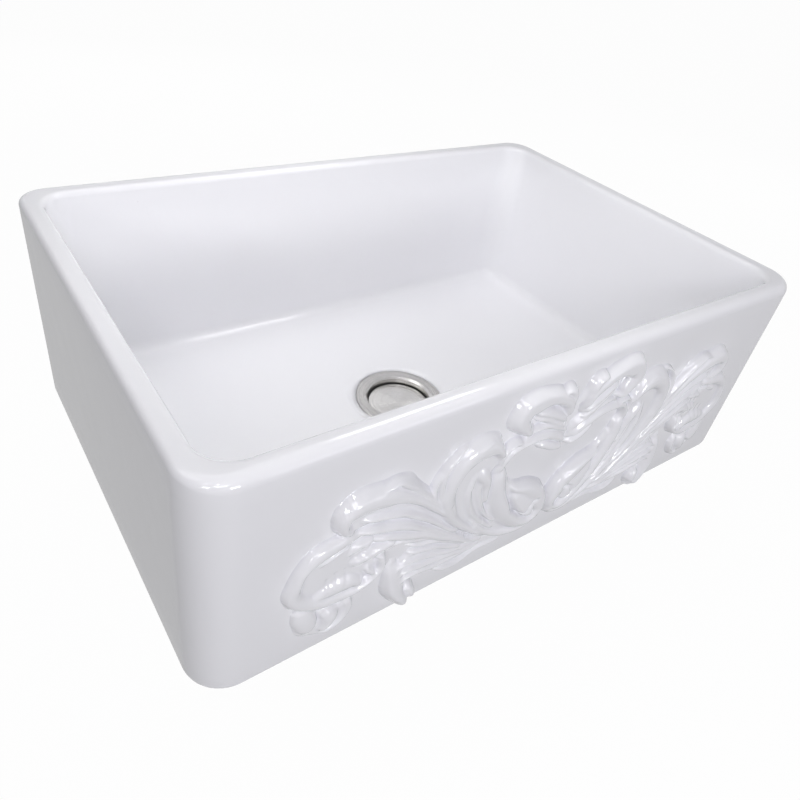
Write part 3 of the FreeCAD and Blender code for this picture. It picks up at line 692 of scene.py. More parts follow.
STROKES = [
    Stroke("scroll_band", Flank.STEEP, Flank.STEEP, [
        (-238, 145, 6, 5.9, 5.9), (-252, 146, 7.5, 8.3, 7.5), (-265, 145, 8.5, 8.4, 8.4),
        (-279, 141, 9, 9, 9), (-290, 131, 9, 6.1, 6.1), (-295, 118, 9, 6.8, 6.8),
        (-297, 104, 8.5, 8.3, 8.3), (-292, 92, 8.5, 9.4, 8.3), (-281, 83, 8.5, 9, 8.5),
        (-268, 77, 9, 8.2, 8.2), (-254, 75, 9, 8.4, 7.2), (-238, 74, 9.5, 6.3, 5.9),
        (-225, 78, 10, 4.2, 4.7), (-215, 85, 10, 3.5, 4), (-210, 93, 10, 4.5, 4.5),
        (-212, 103, 9.5, 4.9, 4.9), (-220, 106, 9, 2, 2)]),
    Stroke("scroll_fold", Flank.DOMED, Flank.STEEP, [
        (-278, 125, 3.5, 2.2, 2.2), (-266, 130, 6, 2.7, 2), (-255, 135, 6.5, 2, 1.5),
        (-246, 135, 5, 2.3, 2.3)]),
    Stroke("scroll_lens", Flank.DOMED, Flank.STEEP, [
        (-248, 123, 4.5, 4.4, 3.3), (-241, 129, 6, 5.7, 4.7), (-232, 131, 6.5, 5.7, 5.7),
        (-223, 132, 6, 3.6, 3.6)]),
    Stroke("scroll_lobe", Flank.DOMED, Flank.DOMED, [
        (-200, 119, 9, 6.8, 6.8), (-212, 119, 9.2, 9.3, 7.4), (-224, 116, 9, 12.5, 7.3),
        (-235, 114, 8.3, 11.9, 6.5), (-244, 113, 6.5, 7.7, 5.5)]),
    Stroke("scroll_inner", Flank.DOMED, Flank.DOMED, [
        (-281, 84, 6, 6.6, 8.8), (-269, 88, 7.5, 9.9, 13.2), (-258, 90, 8.5, 11, 15.4),
        (-247, 90, 8.8, 11, 15.4), (-237, 87, 8.5, 8.8, 13.2), (-229, 79, 8, 5.5, 7.7)]),
    Stroke("scroll_eye", Flank.DOMED, Flank.DOMED, [
        (-227, 99, 7.5, 4.4, 4.4), (-222, 92, 9, 5.5, 5.5), (-216, 84, 8.5, 4.4, 4.4)]),
    Stroke("stem_ridge", Flank.STEEP, Flank.DOMED, [
        (-222, 129, 8, 4.8, 4.8), (-212, 130, 9.5, 4.4, 5.2), (-200, 125, 10, 5.4, 7.5),
        (-186, 118, 10, 5.5, 7.7), (-170, 110, 9.5, 5.5, 6.6), (-155, 100, 9, 5, 5.5),
        (-138, 87, 8.5, 4.4, 4.4), (-120, 74, 8, 3.9, 3.9), (-100, 60, 7, 3.3, 3.3),
        (-80, 49, 6, 2.8, 2.8)]),
    Stroke("stem_keel", Flank.DOMED, Flank.STEEP, [
        (-211, 110, 7, 3.9, 3.9), (-200, 115, 8.5, 3.1, 2.5), (-188, 112, 9, 4.1, 4.1),
        (-174, 106, 8.5, 5, 5), (-158, 99, 8, 4.2, 4.2), (-140, 87, 7.5, 3.9, 3.9),
        (-124, 76, 6.5, 3.3, 3.3)]),
    Stroke("stem_thread", Flank.DOMED, Flank.DOMED, [
        (-179, 96, 4.5, 3.3, 3.3), (-166, 91, 5.5, 3.9, 3.3), (-151, 87, 6, 3.9, 3.3),
        (-135, 79, 6, 3.3, 3.3), (-118, 68, 5.5, 3.3, 3.3), (-100, 57, 5, 2.8, 2.8)]),
    Stroke("upper_fold", Flank.DOMED, Flank.STEEP, [
        (-247, 151, 7.5, 4.4, 4.4), (-254, 158, 9, 6.3, 4.8), (-259, 168, 10.5, 8.1, 7),
        (-257, 181, 11.5, 10.3, 10.8), (-245, 187, 12, 13.2, 14.2), (-231, 187, 12, 12.6, 14.6),
        (-217, 183, 11.5, 12.9, 14), (-204, 177, 11, 9.8, 9.8), (-191, 168, 10.5, 8.7, 7.6),
        (-178, 157, 10, 7.6, 6), (-165, 144, 9.5, 6.6, 5.5), (-152, 131, 9, 5.5, 5),
        (-139, 117, 8.5, 5, 4.4), (-127, 104, 8, 4.4, 3.3), (-114, 90, 7.5, 3.9, 3.3)]),
    Stroke("upper_lip", Flank.DOMED, Flank.STEEP, [
        (-255, 173, 9, 3.3, 2.8), (-247, 183, 11.5, 6.1, 4.4), (-231, 185, 12.5, 6.5, 4.9),
        (-216, 180, 12, 6.6, 4.4), (-203, 173, 11, 5.5, 3.9), (-191, 164, 9.5, 3.3, 2.8)]),
    Stroke("upper_ridge", Flank.DOMED, Flank.DOMED, [
        (-262, 178, 8, 2, 2), (-257, 187, 10.5, 3, 3), (-248, 191, 11.3, 3.5, 3), (-237, 192, 11, 3.5, 3),
        (-227, 187, 9.5, 2, 2)]),
    Stroke("upper_back", Flank.DOMED, Flank.DOMED, [
        (-238, 185, 5, 2, 2), (-230, 191, 8, 2.5, 2.5), (-221, 194, 9.8, 3, 3.5),
        (-211, 196, 10.3, 3.3, 4.4), (-203, 191, 10, 6, 8), (-193, 182, 9.5, 6, 7), (-184, 172, 9, 6, 5),
        (-174, 161, 8.5, 6, 5), (-163, 149, 8, 5, 4), (-150, 134, 7.5, 5, 4), (-137, 118, 7, 3.5, 3.5),
        (-126, 105, 6.5, 3, 3)]),
    Stroke("upper_flute", Flank.DOMED, Flank.DOMED, [
        (-240, 163, 7, 4.4, 4.4), (-228, 161, 8.5, 5.5, 5.5), (-212, 157, 9, 5.5, 5.5),
        (-197, 151, 9, 5.5, 5.5), (-182, 140, 9, 5.5, 5.5), (-167, 128, 8.5, 5, 5),
        (-152, 114, 8, 4.4, 4.4), (-136, 98, 7.5, 3.9, 3.9), (-120, 84, 7, 3.3, 3.3)]),
    Stroke("upper_hem", Flank.DOMED, Flank.STEEP, [
        (-240, 147, 6.5, 4.4, 4.4), (-228, 146, 8, 5.5, 5.5), (-216, 142, 8.5, 5.5, 5.5),
        (-201, 137, 9, 6.5, 5.4), (-187, 130, 9, 6.6, 5.5), (-172, 119, 8.5, 5.5, 4.4),
        (-156, 107, 8, 5, 4.4), (-140, 94, 7.5, 4.4, 3.9), (-124, 81, 7, 3.3, 3.3),
        (-108, 69, 6.5, 3.3, 3.3)]),
    Stroke("low_lobe", Flank.STEEP, Flank.STEEP, [
        (-285, 76, 5, 8.9, 8.9), (-283, 64, 7, 11, 11), (-279, 52, 7.5, 12.1, 11.1),
        (-274, 42, 6.5, 9.2, 9.2)]),
    Stroke("low_bud", Flank.STEEP, Flank.STEEP, [
        (-262, 59, 6, 6.2, 7.2), (-256, 50, 8.5, 9.3, 9.3), (-259, 40, 8, 6.8, 6.8),
        (-264, 33, 6, 5.3, 5.3)]),
    Stroke("low_rim", Flank.STEEP, Flank.STEEP, [
        (-241, 62, 5, 5.3, 5.3), (-237, 50, 6.5, 5.1, 5.1), (-241, 38, 6.5, 3.7, 3.7),
        (-250, 30, 6, 3.6, 3.6), (-262, 27, 5.5, 4.4, 4.4)]),
    Stroke("mid_edge", Flank.DOMED, Flank.DOMED, [
        (-196, 77, 4, 12, 5), (-195, 66, 7.5, 22, 7), (-194, 54, 9.5, 25, 8), (-191, 43, 11.2, 22, 9),
        (-184, 32, 12.3, 13.7, 9.5), (-177, 23, 12.5, 9.9, 9.9), (-171, 14, 12, 8.8, 8.8)]),
    Stroke("mid_roll", Flank.STEEP, Flank.STEEP, [
        (-172, 38, 9, 5.1, 6.1), (-168, 30, 11, 7.1, 7.1), (-164, 22, 11, 6.1, 6.1)]),
    Stroke("mid_crown", Flank.DOMED, Flank.DOMED, [
        (-198, 63, 6, 2, 2), (-190, 69, 7, 2.5, 2.5), (-180, 74, 8.3, 3, 3), (-168, 74, 8.5, 3.6, 3.4),
        (-156, 70, 8, 4.4, 3.6), (-143, 65, 7.5, 3.6, 2.8), (-128, 59, 7, 2.9, 2.9),
        (-112, 54, 6, 2.1, 2.1), (-98, 48, 5, 1.5, 1.5)]),
    Stroke("mid_flute", Flank.DOMED, Flank.DOMED, [
        (-197, 55, 6, 4.4, 4.4), (-188, 60, 7.5, 5, 5), (-176, 64, 9, 5.2, 5.2), (-162, 61, 8.5, 6.1, 6.1),
        (-146, 58, 8, 5, 5), (-130, 54, 7, 4.4, 4.4), (-112, 49, 6, 3.3, 3.3), (-92, 46, 5, 2.2, 2.2)]),
    Stroke("mid_hem", Flank.DOMED, Flank.STEEP, [
        (-193, 43, 7.5, 4.1, 3.5), (-186, 50, 9, 2.8, 2.2), (-175, 56, 10, 3.4, 3.2),
        (-160, 55, 9.5, 5.4, 5.4), (-142, 49, 8, 5.5, 4.9), (-122, 46, 6.5, 4.4, 4.4),
        (-100, 45, 5.5, 3.3, 3.3), (-80, 43, 4.5, 2.2, 2.2)]),
    Stroke("mid_thread", Flank.DOMED, Flank.DOMED, [
        (-176, 84, 5, 4.4, 4.4), (-160, 81, 6.5, 3.3, 3.3), (-144, 76, 7, 3.4, 3.4),
        (-127, 66, 6.5, 3.3, 3.3), (-109, 56, 5.5, 3.2, 3.2)]),
    Stroke("foot_leaf", Flank.DOMED, Flank.STEEP, [
        (-140, 38, 2.5, 2.2, 2.2), (-128, 33, 5.5, 5.4, 4.5), (-114, 30, 6, 3.7, 2.8),
        (-101, 30, 5.5, 2, 2), (-84, 33, 4.2, 1.5, 1.5), (-66, 33, 3.6, 1.9, 1.9),
        (-48, 30, 2.6, 2.2, 2.2)]),
    Stroke("broad_fold", Flank.STEEP, Flank.DOMED, [
        (-91, 167, 8.5, 4.3, 4.3), (-93, 177, 10.5, 6.6, 5.5), (-100, 186, 11.5, 8.4, 8.4),
        (-111, 193, 12, 14.9, 12.8), (-125, 193, 12, 15, 14), (-139, 185, 12, 13.5, 12.5),
        (-147, 172, 11.5, 10.5, 11.4), (-150, 155, 11, 11.5, 10.4), (-149, 140, 10.5, 12.1, 9.9),
        (-143, 125, 10, 10.9, 8.8), (-134, 110, 9.5, 8.1, 7.1), (-122, 96, 9, 6.5, 6.5),
        (-108, 82, 8.5, 5.5, 4.4), (-92, 68, 8, 3.9, 3.9), (-76, 56, 7, 3.3, 3.3)]),
    Stroke("broad_lip", Flank.STEEP, Flank.DOMED, [
        (-96, 185, 10.5, 2.8, 3.3), (-108, 191, 12, 4.4, 6.6), (-123, 192, 12.5, 3.6, 5.5),
        (-137, 183, 12, 4, 6), (-144, 169, 11.5, 3.9, 5.5), (-147, 154, 10, 2.8, 3.3)]),
    Stroke("broad_ridge", Flank.DOMED, Flank.DOMED, [
        (-103, 194, 8.5, 3.4, 3.4), (-114, 201, 10.8, 3.5, 2.5), (-125, 197, 11.2, 3.5, 3),
        (-136, 191, 10.8, 3.5, 3), (-145, 182, 10.2, 3, 2.5), (-150, 168, 9, 2, 2)]),
    Stroke("broad_lobe", Flank.DOMED, Flank.DOMED, [
        (-138, 202, 6, 2.5, 2.5), (-148, 197, 8, 3, 3), (-157, 187, 9, 3.9, 3.9), (-160, 172, 9, 5.1, 5.1),
        (-158, 157, 8.5, 6.6, 5.5), (-154, 142, 8, 5.5, 5.5), (-147, 128, 7.5, 4.4, 4.4)]),
    Stroke("broad_wing", Flank.DOMED, Flank.DOMED, [
        (-157, 186, 7, 2.5, 2.5), (-164, 176, 7.5, 2.5, 2.5), (-166, 165, 7.5, 2.9, 2.9),
        (-163, 152, 7, 3.7, 3.7), (-156, 139, 6.5, 4, 4)]),
    Stroke("broad_vein", Flank.SOFT, Flank.SOFT, [
        (-116, 167, 5, 8.8, 8.8), (-120, 152, 6, 11, 9.9), (-121, 136, 7, 11, 9.9),
        (-116, 120, 7.5, 9.9, 8.8), (-108, 104, 8, 8.5, 7.4), (-97, 90, 8, 6.2, 6.2),
        (-84, 76, 8, 5.5, 4.4), (-70, 64, 8, 4.4, 4.4)]),
    Stroke("broad_inner", Flank.SOFT, Flank.SOFT, [
        (-107, 160, 5, 6.6, 6.6), (-109, 146, 6, 7.7, 7.7), (-107, 131, 6.5, 7.7, 6.6),
        (-101, 115, 7, 6.6, 6.6), (-94, 100, 7.5, 6.1, 5.5), (-83, 86, 7.5, 4.7, 4.2),
        (-70, 73, 7.5, 4.4, 3.3)]),
    Stroke("broad_curl", Flank.DOMED, Flank.STEEP, [
        (-112, 165, 7, 4.4, 4.4), (-109, 157, 9, 8.8, 8.8), (-103, 148, 9.5, 8.8, 8.8),
        (-99, 137, 8.5, 6.6, 6.6), (-97, 125, 7.5, 5.5, 5.5), (-93, 112, 7, 4.4, 4.4)]),
    Stroke("volute_rim", Flank.DOMED, Flank.STEEP, [
        (-110, 98, 7, 4, 4), (-96, 80, 8, 5.3, 5.3), (-82, 65, 8.5, 6.6, 5.5), (-65, 54, 9, 7.2, 6.6),
        (-49, 48, 9.5, 7.7, 6.6), (-33, 45, 10, 7.7, 6.6), (-19, 47, 10, 7.7, 6.6),
        (-13, 52, 10.5, 7.1, 7.1), (-9, 56, 11, 7, 6), (-9, 68, 11, 7.7, 6.6)]),
    Stroke("volute_band", Flank.STEEP, Flank.DOMED, [
        (-86, 156, 7, 5.5, 6.6), (-85, 146, 9, 8.8, 9.9), (-84, 135, 10, 9.9, 12.1),
        (-80, 122, 10.5, 9.9, 14.3), (-75, 110, 11, 8.8, 16.5), (-67, 97, 12, 7.5, 18.3),
        (-59, 84, 12.5, 7.4, 18.9), (-49, 71, 12.5, 7, 17.1), (-38, 60, 12.5, 7.7, 15.4),
        (-25, 54, 12.5, 6.6, 12.1), (-13, 57, 12.5, 3, 4.5), (-8, 63, 12.5, 3.5, 3.5)]),
    Stroke("volute_turn", Flank.DOMED, Flank.STEEP, [
        (-17, 52, 11, 7.7, 6.6), (-12, 58, 12, 10.2, 7.1), (-8, 66, 12.5, 17.2, 7.5),
        (-10, 79, 13, 27.7, 8), (-17, 93, 13, 31.2, 8.3), (-29, 103, 13, 28, 8), (-41, 110, 12.5, 20, 7),
        (-54, 114, 11, 10.6, 5.3), (-64, 120, 9.5, 2.5, 2)]),
    Stroke("volute_bud", Flank.DOMED, Flank.STEEP, [
        (-57, 109, 10, 15.4, 4.4), (-51, 97, 12.5, 28.3, 6.5), (-44, 86, 14, 32.9, 7.2),
        (-36, 77, 14.5, 32.8, 7.2), (-28, 70, 14, 25.6, 7.5), (-20, 66, 11.5, 13.2, 5.5)]),
    Stroke("ribbon_hem", Flank.DOMED, Flank.STEEP, [
        (-89, 146, 7, 6.6, 6.6), (-87, 160, 8.5, 6.7, 4.8), (-79, 172, 9.5, 6, 3.7),
        (-65, 177, 10, 7.2, 4.4), (-50, 178, 10, 8, 4.9), (-36, 176, 10, 9, 5.5), (-22, 169, 9.5, 9.7, 5.4),
        (-11, 162, 8.5, 7.4, 4.8), (-5, 156, 6, 4, 3)]),
    Stroke("ribbon_crown", Flank.DOMED, Flank.DOMED, [
        (-66, 183, 6.5, 1.5, 1.5), (-52, 189, 8, 3, 3), (-36, 187, 8, 5.5, 5.5), (-21, 180, 8, 5.4, 5.4),
        (-9, 173, 7, 4.3, 4.3), (-5, 167, 5, 3.3, 3.3)]),
    Stroke("ribbon_fold", Flank.DOMED, Flank.DOMED, [
        (-90, 158, 7.5, 2.9, 3.5), (-90, 170, 9, 3, 4), (-84, 180, 9.5, 3, 4.5), (-75, 182, 9, 3.9, 6.2),
        (-65, 177, 8.5, 4.1, 6.2)]),
    Stroke("ribbon_drop", Flank.DOMED, Flank.STEEP, [
        (-38, 162, 5, 4.4, 4.4), (-30, 159, 7, 6.5, 5.4), (-20, 154, 8, 7.3, 5.2),
        (-10, 150, 7.5, 5.8, 3.9), (-4, 149, 6, 4.1, 3)]),
    Stroke("crest_fold", Flank.DOMED, Flank.STEEP, [
        (-58, 193, 9, 3.5, 2.8), (-66, 192, 10.5, 6.5, 6.5), (-74, 200, 11.5, 9.6, 9.6),
        (-82, 211, 12, 12.3, 13.3), (-77, 224, 12, 12.9, 15.9), (-65, 227, 12, 13.5, 15.6),
        (-51, 227, 12, 11.1, 10.1), (-39, 224, 11.5, 10.7, 9.6), (-27, 218, 11, 9.4, 9.4),
        (-17, 210, 10.5, 8.8, 8.8), (-13, 198, 9, 5.3, 5.3), (-11, 188, 6, 2.5, 2.5)]),
    Stroke("crest_lip", Flank.DOMED, Flank.STEEP, [
        (-78, 209, 10.5, 3.3, 2.8), (-76, 220, 12, 6, 4), (-64, 227, 12.3, 5.9, 3.9),
        (-49, 226, 12, 5.5, 4.4), (-37, 221, 11.3, 5, 3.9), (-27, 213, 10.5, 3.3, 2.8)]),
    Stroke("crest_back", Flank.DOMED, Flank.DOMED, [
        (-85, 206, 7, 2, 2.5), (-83, 218, 9.5, 3.5, 4.5), (-74, 225, 10.3, 3.5, 4.5),
        (-63, 230, 10.3, 3.5, 4.5), (-52, 227, 9.8, 4.5, 6), (-39, 225, 9, 3.3, 3.9)]),
    Stroke("crest_bud", Flank.DOMED, Flank.DOMED, [
        (-32, 225, 7.5, 2, 2.5), (-24, 227, 10, 7, 7), (-16, 220, 10, 7.7, 7.7), (-14, 209, 9, 5.5, 5.5),
        (-12, 199, 7, 3.3, 3.3)]),
    Stroke("crest_leaf", Flank.DOMED, Flank.STEEP, [
        (-56, 209, 6, 4.4, 4.4), (-46, 206, 8, 6.3, 5.3), (-34, 200, 9, 7.3, 5.2), (-22, 193, 9, 6.3, 5.2),
        (-13, 187, 8, 4.3, 4.3)]),
    Stroke("crest_hem", Flank.DOMED, Flank.STEEP, [
        (-54, 202, 6, 4.4, 4.4), (-42, 198, 7.5, 5.5, 5.5), (-30, 190, 8.5, 5.4, 4.4),
        (-20, 184, 8.5, 4.4, 4.4), (-12, 179, 7, 3.3, 3.3)]),
]

GROOVES = [
    Groove("lobe_1", 0.7, 1.6, [(-245, 128), (-243, 122), (-242, 113)]),
    Groove("lobe_2", 0.7, 1.6, [(-235, 129), (-234, 122), (-234, 112)]),
    Groove("lobe_3", 0.7, 1.6, [(-225, 131), (-224, 124), (-226, 115)]),
    Groove("inner_1", 0.8, 1.6, [(-265, 103), (-265, 98), (-265, 90)]),
    Groove("inner_2", 0.8, 1.6, [(-257, 107), (-256, 102), (-256, 92)]),
    Groove("inner_3", 0.8, 1.6, [(-248, 107), (-246, 99), (-248, 91)]),
    Groove("crescent", 3, 1.8, [(-234, 106), (-229, 110), (-222, 108), (-216, 103)]),
    Groove("low_crease", 2.5, 1.4, [(-269, 60), (-267, 51), (-271, 44), (-277, 39)]),
    Groove("middle", 7, 2.4, [(0, 260), (0, 140), (0, 20)]),
    Groove("eye", 3, 1.8, [(-58, 91), (-53, 83), (-44, 76), (-34, 75), (-30, 82), (-20, 85)]),
    Groove("broad_cut_1", 1, 1.6, [(-142, 134), (-131, 114), (-117, 98), (-101, 84)]),
    Groove("broad_cut_2", 1, 1.6, [(-118, 140), (-114, 121), (-104, 103), (-90, 85)]),
]


@dataclass
class Carving:
    """Scrollwork on the basin's apron: acanthus leaves and scrolls, the same on both halves."""

    basin: Basin
    left: float = -316.0
    low: float = 12.0
    high: float = 246.0
    step: float = 0.87
    sunk: float = 0.7
    back: float = 5.0
    soften: float = 0.9
    bed_edge: float = 5.0
    bed_samples: int = 12
    proud: float = 18.78
    ease: float = 0.5
    end_run: float = 0.1
    end_thinning: float = 0.4
    samples: int = 14
    groove_samples: int = 60
    uncut: float = 0.5
    # Reach and depth of the painted shade that darkens creases and hollows.
    crease_shade_reach: float = 3.0
    crease_shade_depth: float = 2.5
    x: np.ndarray = field(init=False)
    z: np.ndarray = field(init=False)

    def __post_init__(self) -> None:
        """Lay out the grid."""
        self.x = np.linspace(self.left, 0.0, int(-self.left / self.step) + 1)
        self.z = np.linspace(self.low, self.high, int((self.high - self.low) / self.step) + 1)

    def boxed(self, gx: np.ndarray, gz: np.ndarray, line: np.ndarray, reach: float) -> np.ndarray:
        """Whether each grid point lies in the box round a line, widened by a reach."""
        return ((gx > line[:, 0].min() - reach) & (gx < line[:, 0].max() + reach)
                & (gz > line[:, 1].min() - reach) & (gz < line[:, 1].max() + reach))

    def near(self, field_x: np.ndarray, field_z: np.ndarray, line: np.ndarray
             ) -> tuple[np.ndarray, np.ndarray]:
        """Nearest sample of a line and its distance.

        Args:
            field_x: across of each place.
            field_z: height of each place.
            line: samples, x and z first.

        Returns:
            Number of the nearest sample and the distance to it, for each place.
        """
        far = (field_x[:, None] - line[None, :, 0]) ** 2 + (field_z[:, None] - line[None, :, 1]) ** 2
        best = far.argmin(1)
        return best, np.sqrt(far[np.arange(len(best)), best])

    def raise_bed(self, tall: np.ndarray, gx: np.ndarray, gz: np.ndarray, bed: Bed) -> None:
        """Raise a bed: its height times 1 - (1 - d)^2, with d the share of the edge's width.

        Args:
            tall: heights of the grid, changed in place.
            gx: across of each grid point.
            gz: height of each grid point.
            bed: the bed.
        """
        steps = self.bed_samples
        ring = smooth_line([*bed.outline[-2:], *bed.outline, *bed.outline[:2]],
                           steps * (len(bed.outline) + 3) + 1)[2 * steps:-steps - 1]
        ends = np.roll(ring, -1, axis=0)
        box = self.boxed(gx, gz, ring, 0.0)
        px, pz = gx[box][:, None], gz[box][:, None]
        across = (ends[:, 0] - ring[:, 0]) * (pz - ring[:, 1]) / (ends[:, 1] - ring[:, 1] + 1e-9)
        crosses = ((ring[:, 1] > pz) != (ends[:, 1] > pz)) & (px < across + ring[:, 0])
        inside = crosses.sum(1) % 2 == 1
        _, away = self.near(px[inside, 0], pz[inside, 0], ring)
        share = np.clip(away / self.bed_edge, 0, 1)
        rise = np.full(len(px), -self.sunk)
        rise[inside] = bed.height * (1 - (1 - share) ** 2)
        tall[box] = np.maximum(tall[box], rise)

    def raise_stroke(self, tall: np.ndarray, gx: np.ndarray, gz: np.ndarray, stroke: Stroke) -> None:
        """Raise a stroke: its height times (1 - u^2)^e, u the share of the width on that side.

        Near each end the stroke thins by its end thinning times (1 - t)^2, t the share of the
        end's run.

        Args:
            tall: heights of the grid, changed in place.
            gx: across of each grid point.
            gz: height of each grid point.
            stroke: the stroke.
        """
        line = smooth_line(stroke.line, self.samples * len(stroke.line))
        along = np.linspace(0, 1, len(line))
        short = 1 - np.clip(np.minimum(along, 1 - along) / self.end_run, 0, 1)
        ends = 1 - self.end_thinning * short**2
        line[:, 2] *= ends
        line[:, 3:] *= (self.end_thinning + (1 - self.end_thinning) * ends)[:, None]
        box = self.boxed(gx, gz, line, line[:, 3:].max() + 1)
        px, pz = gx[box], gz[box]
        best, away = self.near(px, pz, line)
        way = np.gradient(line[:, :2], axis=0)
        left = way[best, 0] * (pz - line[best, 1]) - way[best, 1] * (px - line[best, 0]) > 0
        width = np.where(left, line[best, 3], line[best, 4])
        power = np.where(left, stroke.left.value, stroke.right.value)
        share = np.clip(away / width, 0, 1)
        rise = np.where(away < width, line[best, 2] * (1 - share**2) ** power, -self.sunk)
        tall[box] = np.maximum(tall[box], rise)

    def cut_groove(self, tall: np.ndarray, gx: np.ndarray, gz: np.ndarray, groove: Groove) -> None:
        """Cut a groove into what is raised: its depth times exp(-(distance / width)^2).

        Args:
            tall: heights of the grid, changed in place.
            gx: across of each grid point.
            gz: height of each grid point.
            groove: the groove.
        """
        line = smooth_line(groove.line, self.groove_samples)
        box = self.boxed(gx, gz, line, 4 * groove.width)
        _, away = self.near(gx[box], gz[box], line)
        left = tall[box] - groove.depth * np.exp(-((away / groove.width) ** 2))
        tall[box] = np.where(tall[box] > self.uncut, np.maximum(left, self.uncut), tall[box])

    def softened(self, tall: np.ndarray, width: float) -> np.ndarray:
        """Heights after the glaze has filled the sharpest corners, by a bell-shaped average.

        Args:
            tall: heights of the grid.
            width: the bell's width in millimetres.

        Returns:
            Softened heights.
        """
        reach = int(3 * width / self.step) + 1
        bell = np.exp(-0.5 * (np.arange(-reach, reach + 1) * self.step / width) ** 2)
        bell /= bell.sum()
        for axis in (0, 1):
            padded = np.pad(tall, [(reach, reach) if a == axis else (0, 0) for a in (0, 1)], "edge")
            count = tall.shape[axis]
            tall = sum(w * np.take(padded, np.arange(count) + i, axis=axis)
                       for i, w in enumerate(bell))
        return tall

    def heights(self) -> tuple[np.ndarray, np.ndarray]:
        """Heights above the apron on the left half's grid, and how much shade is painted into each crease
        and hollow.

        The tallest places ease into one upright plane in front of the leaning apron: room
        less e ln(1 + exp((room - height) / e)).

        Returns:
            Heights and shares of painted crease shade, one row for each height of the grid.
        """
        gx, gz = np.meshgrid(self.x, self.z)
        shape = gx.shape
        gx, gz = gx.ravel(), gz.ravel()
        tall = np.full(gx.size, -self.sunk)
        for bed in BEDS:
            self.raise_bed(tall, gx, gz, bed)
        for stroke in STROKES:
            self.raise_stroke(tall, gx, gz, stroke)
        for groove in GROOVES:
            self.cut_groove(tall, gx, gz, groove)
        tall = self.softened(tall.reshape(shape), self.soften)
        room = self.proud - self.basin.draft * gz.reshape(shape) / self.basin.height
        tall = room - self.ease * np.log1p(np.exp((room - tall) / self.ease))
        # Painted shade: places lower than their softened surroundings get a darker, cooler colour.
        mottle_and_crease_shade_share = np.clip((self.softened(tall, self.crease_shade_reach) - tall) / self.crease_shade_depth, 0, 1)
        return tall, mottle_and_crease_shade_share

    def build(self, half: Half, tall: np.ndarray, mottle_and_crease_shade_share: np.ndarray,
              glaze: bpy.types.Material) -> bpy.types.Object:
        """Make one half of the carving as a closed slab sunk into the apron.

        Args:
            half: which side.
            tall: heights of the left half's grid.
            mottle_and_crease_shade_share: shares of painted crease shade on the same grid.
            glaze: its finish.

        Returns:
            The carved piece.
        """
        gx, gz = np.meshgrid(self.x, self.z)
        lean = math.atan2(self.basin.draft, self.basin.height)
        foot = self.basin.draft - self.basin.depth / 2

        def laid(out: np.ndarray) -> np.ndarray:
            """Points of the grid, moved out from the leaning apron."""
            y = foot - gz * math.tan(lean) - out * math.cos(lean)
            return np.stack([gx * half.value, y, gz - out * math.sin(lean)], -1).reshape(-1, 3)

        rows, columns = gx.shape
        number = np.arange(rows * columns).reshape(rows, columns)
        front = grid_faces(rows, columns, False, False)
        rim = np.concatenate([number[0, :], number[1:, -1], number[-1, -2::-1], number[-2:0:-1, 0]])
        back = laid(np.full(gx.shape, -self.back))[rim]
        start = rows * columns
        after = np.roll(np.arange(len(rim)), -1)
        wall = np.stack([rim, start + np.arange(len(rim)), start + after, rim[after]], -1)
        faces = [*front.tolist(), *wall.tolist(), (start + np.arange(len(rim))).tolist()[::-1]]
        if half is Half.RIGHT:
            faces = [f[::-1] for f in faces]
        points = np.vstack([laid(tall), back])
        piece = make_piece(f"carving_{half.name.lower()}", points, faces, glaze, "basin")
        # Painted crease shade, stored on each point for the glaze to read.
        shares = np.concatenate([mottle_and_crease_shade_share.ravel(), np.zeros(len(rim))])
        layer = piece.data.attributes.new("mottle_and_crease_shade_share", "FLOAT", "POINT")
        layer.data.foreach_set("value", shares.astype(np.float32))
        return piece


# ---------------------------------------------------------------- drain


@dataclass
class LatchSpring:
    """Coil between the lid's nut and the latch housing, made at rest, though the real one stretches as the
    lid rises.
    """

    low: float = -6.0
    tall: float = 9.0
    wire: float = 1.1
    inside_r: float = 6.75
    turns: int = 5
    steps: int = 36
    sides: int = 10

    def build(self, steel: bpy.types.Material) -> bpy.types.Object:
        """Make the coil: a circle carried along a steady climb round the axis.

        Args:
            steel: its finish.

        Returns:
            The spring.
        """
        r = self.inside_r + self.wire / 2
        t = np.linspace(0, 1, self.turns * self.steps + 1)
        a = t * self.turns * 2 * math.pi
        z = self.low + self.wire / 2 + t * (self.tall - self.wire)
        b = np.linspace(0, 2 * math.pi, self.sides, endpoint=False)
        out = r + self.wire / 2 * np.cos(b)[None, :]
        points = np.stack([out * np.cos(a)[:, None], out * np.sin(a)[:, None],
                           z[:, None] + self.wire / 2 * np.sin(b)[None, :]], -1)
        rows, columns, _ = points.shape
        faces = [list(f)[::-1] for f in grid_faces(rows, columns, False, True)]
        last = (rows - 1) * columns
        faces += [list(range(columns)), list(range(last, last + columns))[::-1]]
        piece = make_piece("latch_coil", points.reshape(-1, 3), faces, steel)
        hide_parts("latch_spring")
        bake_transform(piece)
        return piece


@dataclass
class Drain:
    """Basket strainer: every CAD node of it keeps its shape and gets its finish."""

    finishes: dict[str, tuple[str, ...]] = field(default_factory=lambda: {
        "flange": ("drain_body",),
        "lid": ("lid_disc",),
        "cup": ("basket_cup", "seal_plate"),
        "bright": ("lid_stem", "latch_pin", "plate_nut", "tailpiece"),
        "zinc": ("clamp_nut",),
        "brass": ("latch_housing", "housing_nut"),
        "rubber": ("flange_seal", "base_washer", "outlet_washer", "basket_ring", "lid_seal"),
        "plastic": ("slip_ring", "coupling_nut"),
    })

    def dress(self, materials: dict[str, bpy.types.Material]) -> None:
        """Give each node its material.

        Args:
            materials: material for each name of a finish.
        """
        for finish, nodes in self.finishes.items():
            for node in nodes:
                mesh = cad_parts[node].data
                mesh.materials.clear()
                mesh.materials.append(materials[finish])
                log.info("%s: %s", node, finish)


# ---------------------------------------------------------------- studio


